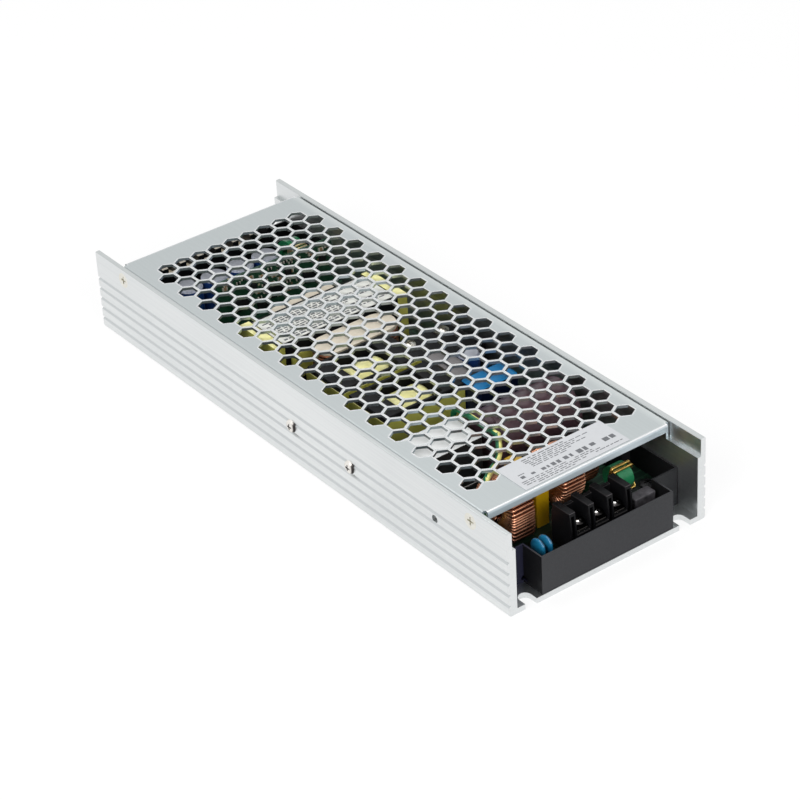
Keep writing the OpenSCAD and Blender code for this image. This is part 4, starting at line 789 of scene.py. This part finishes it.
def earth_wire_tube():
    """the earth wire on the CAD's route, bent smoothly, green with a yellow stripe"""
    sides, radius, stripe_from = 12, 1.08 * MM, 0.62 * MM
    stripe_side = Vector((0.45, -0.8, 0.55))
    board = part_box("earth_wire")[0].z
    bulk_low, bulk_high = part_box("bulk_capacitor")
    ring_low, ring_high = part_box("line_choke_a_core")
    x, y, front = bulk_low.x / MM - 2.05, bulk_high.y / MM + 0.5, bulk_low.y / MM
    choke = (ring_low + ring_high) / 2 / MM
    top = (ring_high.z - ring_low.z) / MM + 2 * 1.2 + 0.1 + 1.1  # core, turns, gap and half the wire
    # millimetres, heights above the board
    # up behind the bulk capacitor, past it, over the choke and down
    route = [(x, y, 0), (x, y, top - 4.4), (x, y - 0.4, top - 2.4), (x, y - 1.4, top - 0.6),
             (x, y - 3, top), (x, front + 0.5, top), (x - 0.8, front - 2.5, top)]
    route += [(choke.x + across, choke.y + along, top + rise) for across, along, rise in
              ((4.5, 8.4, 0), (-4.5, 2.4, 0), (-6.7, 0.8, -0.6), (-8.3, -0.4, -2.4), (-8.9, -1, -5),
               (-8.9, -1.2, -top / 2), (-8.9, -1.2, -top))]
    line = smooth_route([Vector(point) * MM + Vector((0, 0, board)) for point in route])

    def heading(i):
        return (line[min(i + 1, len(line) - 1)] - line[max(i - 1, 0)]).normalized()

    bm = bmesh.new()
    previous = None
    for i, point in enumerate(line):
        along = heading(i)
        across = along.cross(Vector((1, 0, 0))).normalized()
        turn = Matrix((across, along.cross(across), along)).transposed().to_4x4()
        ring = bmesh.ops.create_circle(bm, segments=sides, radius=radius,
                                       matrix=Matrix.Translation(point) @ turn)["verts"]
        if previous:
            bmesh.ops.bridge_loops(bm, edges=ring_edges(previous) + ring_edges(ring))
        previous = ring
    bmesh.ops.holes_fill(bm, edges=bm.edges, sides=sides)
    bmesh.ops.recalc_face_normals(bm, faces=bm.faces)
    for face in bm.faces:
        centre = face.calc_center_median()
        point = min(line, key=lambda p: (p - centre).length_squared)
        along = heading(line.index(point))
        stripe = (stripe_side - along * stripe_side.dot(along)).normalized()
        face.material_index = 1 if (centre - point).dot(stripe) > stripe_from else 0
    add_piece("earth_wire_tube", bm, EARTH_GREEN, EARTH_YELLOW, stands_for=["earth_wire"],
              slot="earth_insulation")


earth_wire_tube()


def series_coil():
    """flat oval turns stacked between the bobbin's flanges"""
    low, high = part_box("series_winding")
    centre = (low + high) / 2
    wire, bend_steps = 1.35 * MM, 10
    half = (high.x - low.x - high.y + low.y) / 2
    bend = (high.y - low.y) / 2 - wire / 2
    count = int((high.z - low.z) / wire)
    bm = bmesh.new()
    for i in range(count):
        z = low.z + wire / 2 + i * (high.z - low.z - wire) / (count - 1)
        ring = start_wire(bm, (centre.x - half, centre.y - bend, z), wire * 0.49)
        ring = run_on(bm, ring, (2 * half, 0, 0))
        ring = turn_on(bm, ring, (centre.x + half, centre.y, z), math.pi, bend_steps)
        ring = run_on(bm, ring, (-2 * half, 0, 0))
        turn_on(bm, ring, (centre.x - half, centre.y, z), math.pi, bend_steps)
    close_wire(bm)
    add_piece("series_coil", bm, DARK_COPPER, stands_for=["series_winding"], slot="dark_copper")


series_coil()


def plain_bars(name, place, rows):
    """short plain bars in rows in place of print

    A row is its distance from the label's mains side, its thickness, and where it starts and ends
    along the label, in millimetres.
    """
    low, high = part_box(place)
    film, shortest = 0.02, 0.8
    bm = bmesh.new()
    for y, thick, start, end in rows:
        lengths = (0.9, 2.6) if thick < 0.8 else (1.4, 2.2)
        x = start
        while x < end - shortest:
            long = min(random.uniform(*lengths), end - x)
            bar = bmesh.ops.create_cube(bm, size=1)["verts"]
            bmesh.ops.scale(bm, verts=bar, vec=(long * MM, thick * MM, film * MM))
            bmesh.ops.translate(bm, verts=bar, vec=(low.x + (x + long / 2) * MM, low.y + y * MM,
                                                    high.z + film / 2 * MM))
            x += long + random.uniform(0.35, 0.8)
    add_piece(name, bm, MARKS, smooth=False, slot="label_film")


plain_bars("rating_label_bars", "rating_label",
           [(13.3, 0.45, 9, 26), (12.3, 0.35, 9, 36), (11.4, 0.35, 9, 30), (10.5, 0.35, 10, 34),
            (9.6, 0.35, 10, 27), (8.7, 0.35, 10, 24), (7.6, 0.35, 3, 6), (6.0, 1.3, 3, 5),
            (5.8, 1.0, 7, 9), (5.6, 1.3, 11, 14), (5.6, 1.7, 15, 18.5), (5.7, 1.7, 20, 23.5),
            (5.7, 2.1, 25.5, 29.5), (6.0, 1.6, 31, 34), (5.4, 2.0, 36, 41), (3.8, 0.35, 1.5, 20),
            (3.8, 0.35, 23, 30), (2.9, 0.35, 1.5, 33), (1.9, 0.35, 2, 26), (1.9, 0.35, 30, 41),
            (1.0, 0.35, 6, 22)])
plain_bars("transformer_label_bars", "transformer_label",
           [(1.5 + 1.3 * i, 0.6 if i % 3 else 0.9, 1.5 + 2.0 * (i % 2), (34, 45, 41, 45.5, 30)[i % 5])
            for i in range(12)])


# floor, light and camera

FLOOR_HALF = 6
FLOOR_GREY = (0.86, 0.86, 0.86, 1)
FLOOR_SHOWN_WHITE = 0.8  # share of plain white in what the camera and reflections see of the floor
WORLD_LIGHT, WORLD_SHOWN = 0.45, 1.0
PHOTO_PIXELS, FOCAL_PIXELS, SENSOR = 800, 2875.131, 36


def shown_mask(tree):
    """1 for what the camera sees straight, in reflections or through something"""
    path = tree.nodes.new("ShaderNodeLightPath")
    straight = number(tree, "ADD", path.outputs["Is Camera Ray"], path.outputs["Is Glossy Ray"])
    return number(tree, "ADD", straight, path.outputs["Is Transmission Ray"])


def pale_floor():
    bm = bmesh.new()
    bmesh.ops.create_grid(bm, x_segments=1, y_segments=1, size=FLOOR_HALF)
    mesh = bpy.data.meshes.new("floor")
    bm.to_mesh(mesh)
    bm.free()
    floor = bpy.data.objects.new("floor", mesh)
    bpy.context.scene.collection.objects.link(floor)
    material = bpy.data.materials.new("pale_floor")
    material.use_nodes = True
    tree = material.node_tree
    shader = tree.nodes["Principled BSDF"]
    shader.inputs["Base Color"].default_value = FLOOR_GREY
    shader.inputs["Roughness"].default_value = 0.9
    paper, mix = tree.nodes.new("ShaderNodeEmission"), tree.nodes.new("ShaderNodeMixShader")
    tree.links.new(number(tree, "MULTIPLY", shown_mask(tree), FLOOR_SHOWN_WHITE), mix.inputs[0])
    tree.links.new(shader.outputs[0], mix.inputs[1])
    tree.links.new(paper.outputs[0], mix.inputs[2])
    tree.links.new(mix.outputs[0], tree.nodes["Material Output"].inputs["Surface"])
    mesh.materials.append(material)


def soft_lamp(name, place, aim, size, power):
    lamp = bpy.data.lights.new(name, "AREA")
    lamp.shape = "DISK"
    lamp.size = size
    lamp.energy = power
    holder = bpy.data.objects.new(name, lamp)
    holder.location = place
    holder.rotation_mode = "QUATERNION"
    holder.rotation_quaternion = (Vector(aim) - Vector(place)).to_track_quat("-Z", "Y")
    bpy.context.scene.collection.objects.link(holder)


def studio_world():
    world = bpy.data.worlds.new("studio")
    bpy.context.scene.world = world
    world.use_nodes = True
    tree = world.node_tree
    sky = tree.nodes["Background"]
    sky.inputs["Color"].default_value = (1, 1, 1, 1)
    tree.links.new(ranged(tree, shown_mask(tree), WORLD_LIGHT, WORLD_SHOWN), sky.inputs["Strength"])


def photo_camera():
    """the camera of the photo, solved from it: angles in degrees, place in millimetres"""
    around, above, roll = (math.radians(v) for v in (-35.568, 32.594, -3.343))
    shift_right, shift_up, distance = 4.626, 5.437, 981.952
    back = Vector((math.sin(around) * math.cos(above), -math.cos(around) * math.cos(above),
                   math.sin(above)))
    right = Vector((0, 0, 1)).cross(back).normalized()
    up = back.cross(right)
    side = right * math.cos(roll) + up * math.sin(roll)
    rise = up * math.cos(roll) - right * math.sin(roll)
    place = (side * shift_right + rise * shift_up + back * distance) * MM
    data = bpy.data.cameras.new("camera")
    data.sensor_width = SENSOR
    data.lens = FOCAL_PIXELS * SENSOR / PHOTO_PIXELS
    data.clip_start, data.clip_end = 0.05, 50
    camera = bpy.data.objects.new("camera", data)
    turn = Matrix((side, rise, back)).transposed().to_4x4()
    camera.matrix_world = Matrix.Translation(place) @ turn
    bpy.context.scene.collection.objects.link(camera)
    bpy.context.scene.camera = camera


pale_floor()
studio_world()
soft_lamp("key_lamp", (-1.1, -0.5, 0.9), (0, 0, 0.01), 0.9, 14)
soft_lamp("front_lamp", (-0.2, -1.4, 0.7), (0, -0.05, 0.01), 0.8, 8)
soft_lamp("top_lamp", (0.2, 0.4, 1.5), (0, 0, 0.01), 1.0, 10)
photo_camera()
bpy.context.scene.view_settings.view_transform = "Standard"
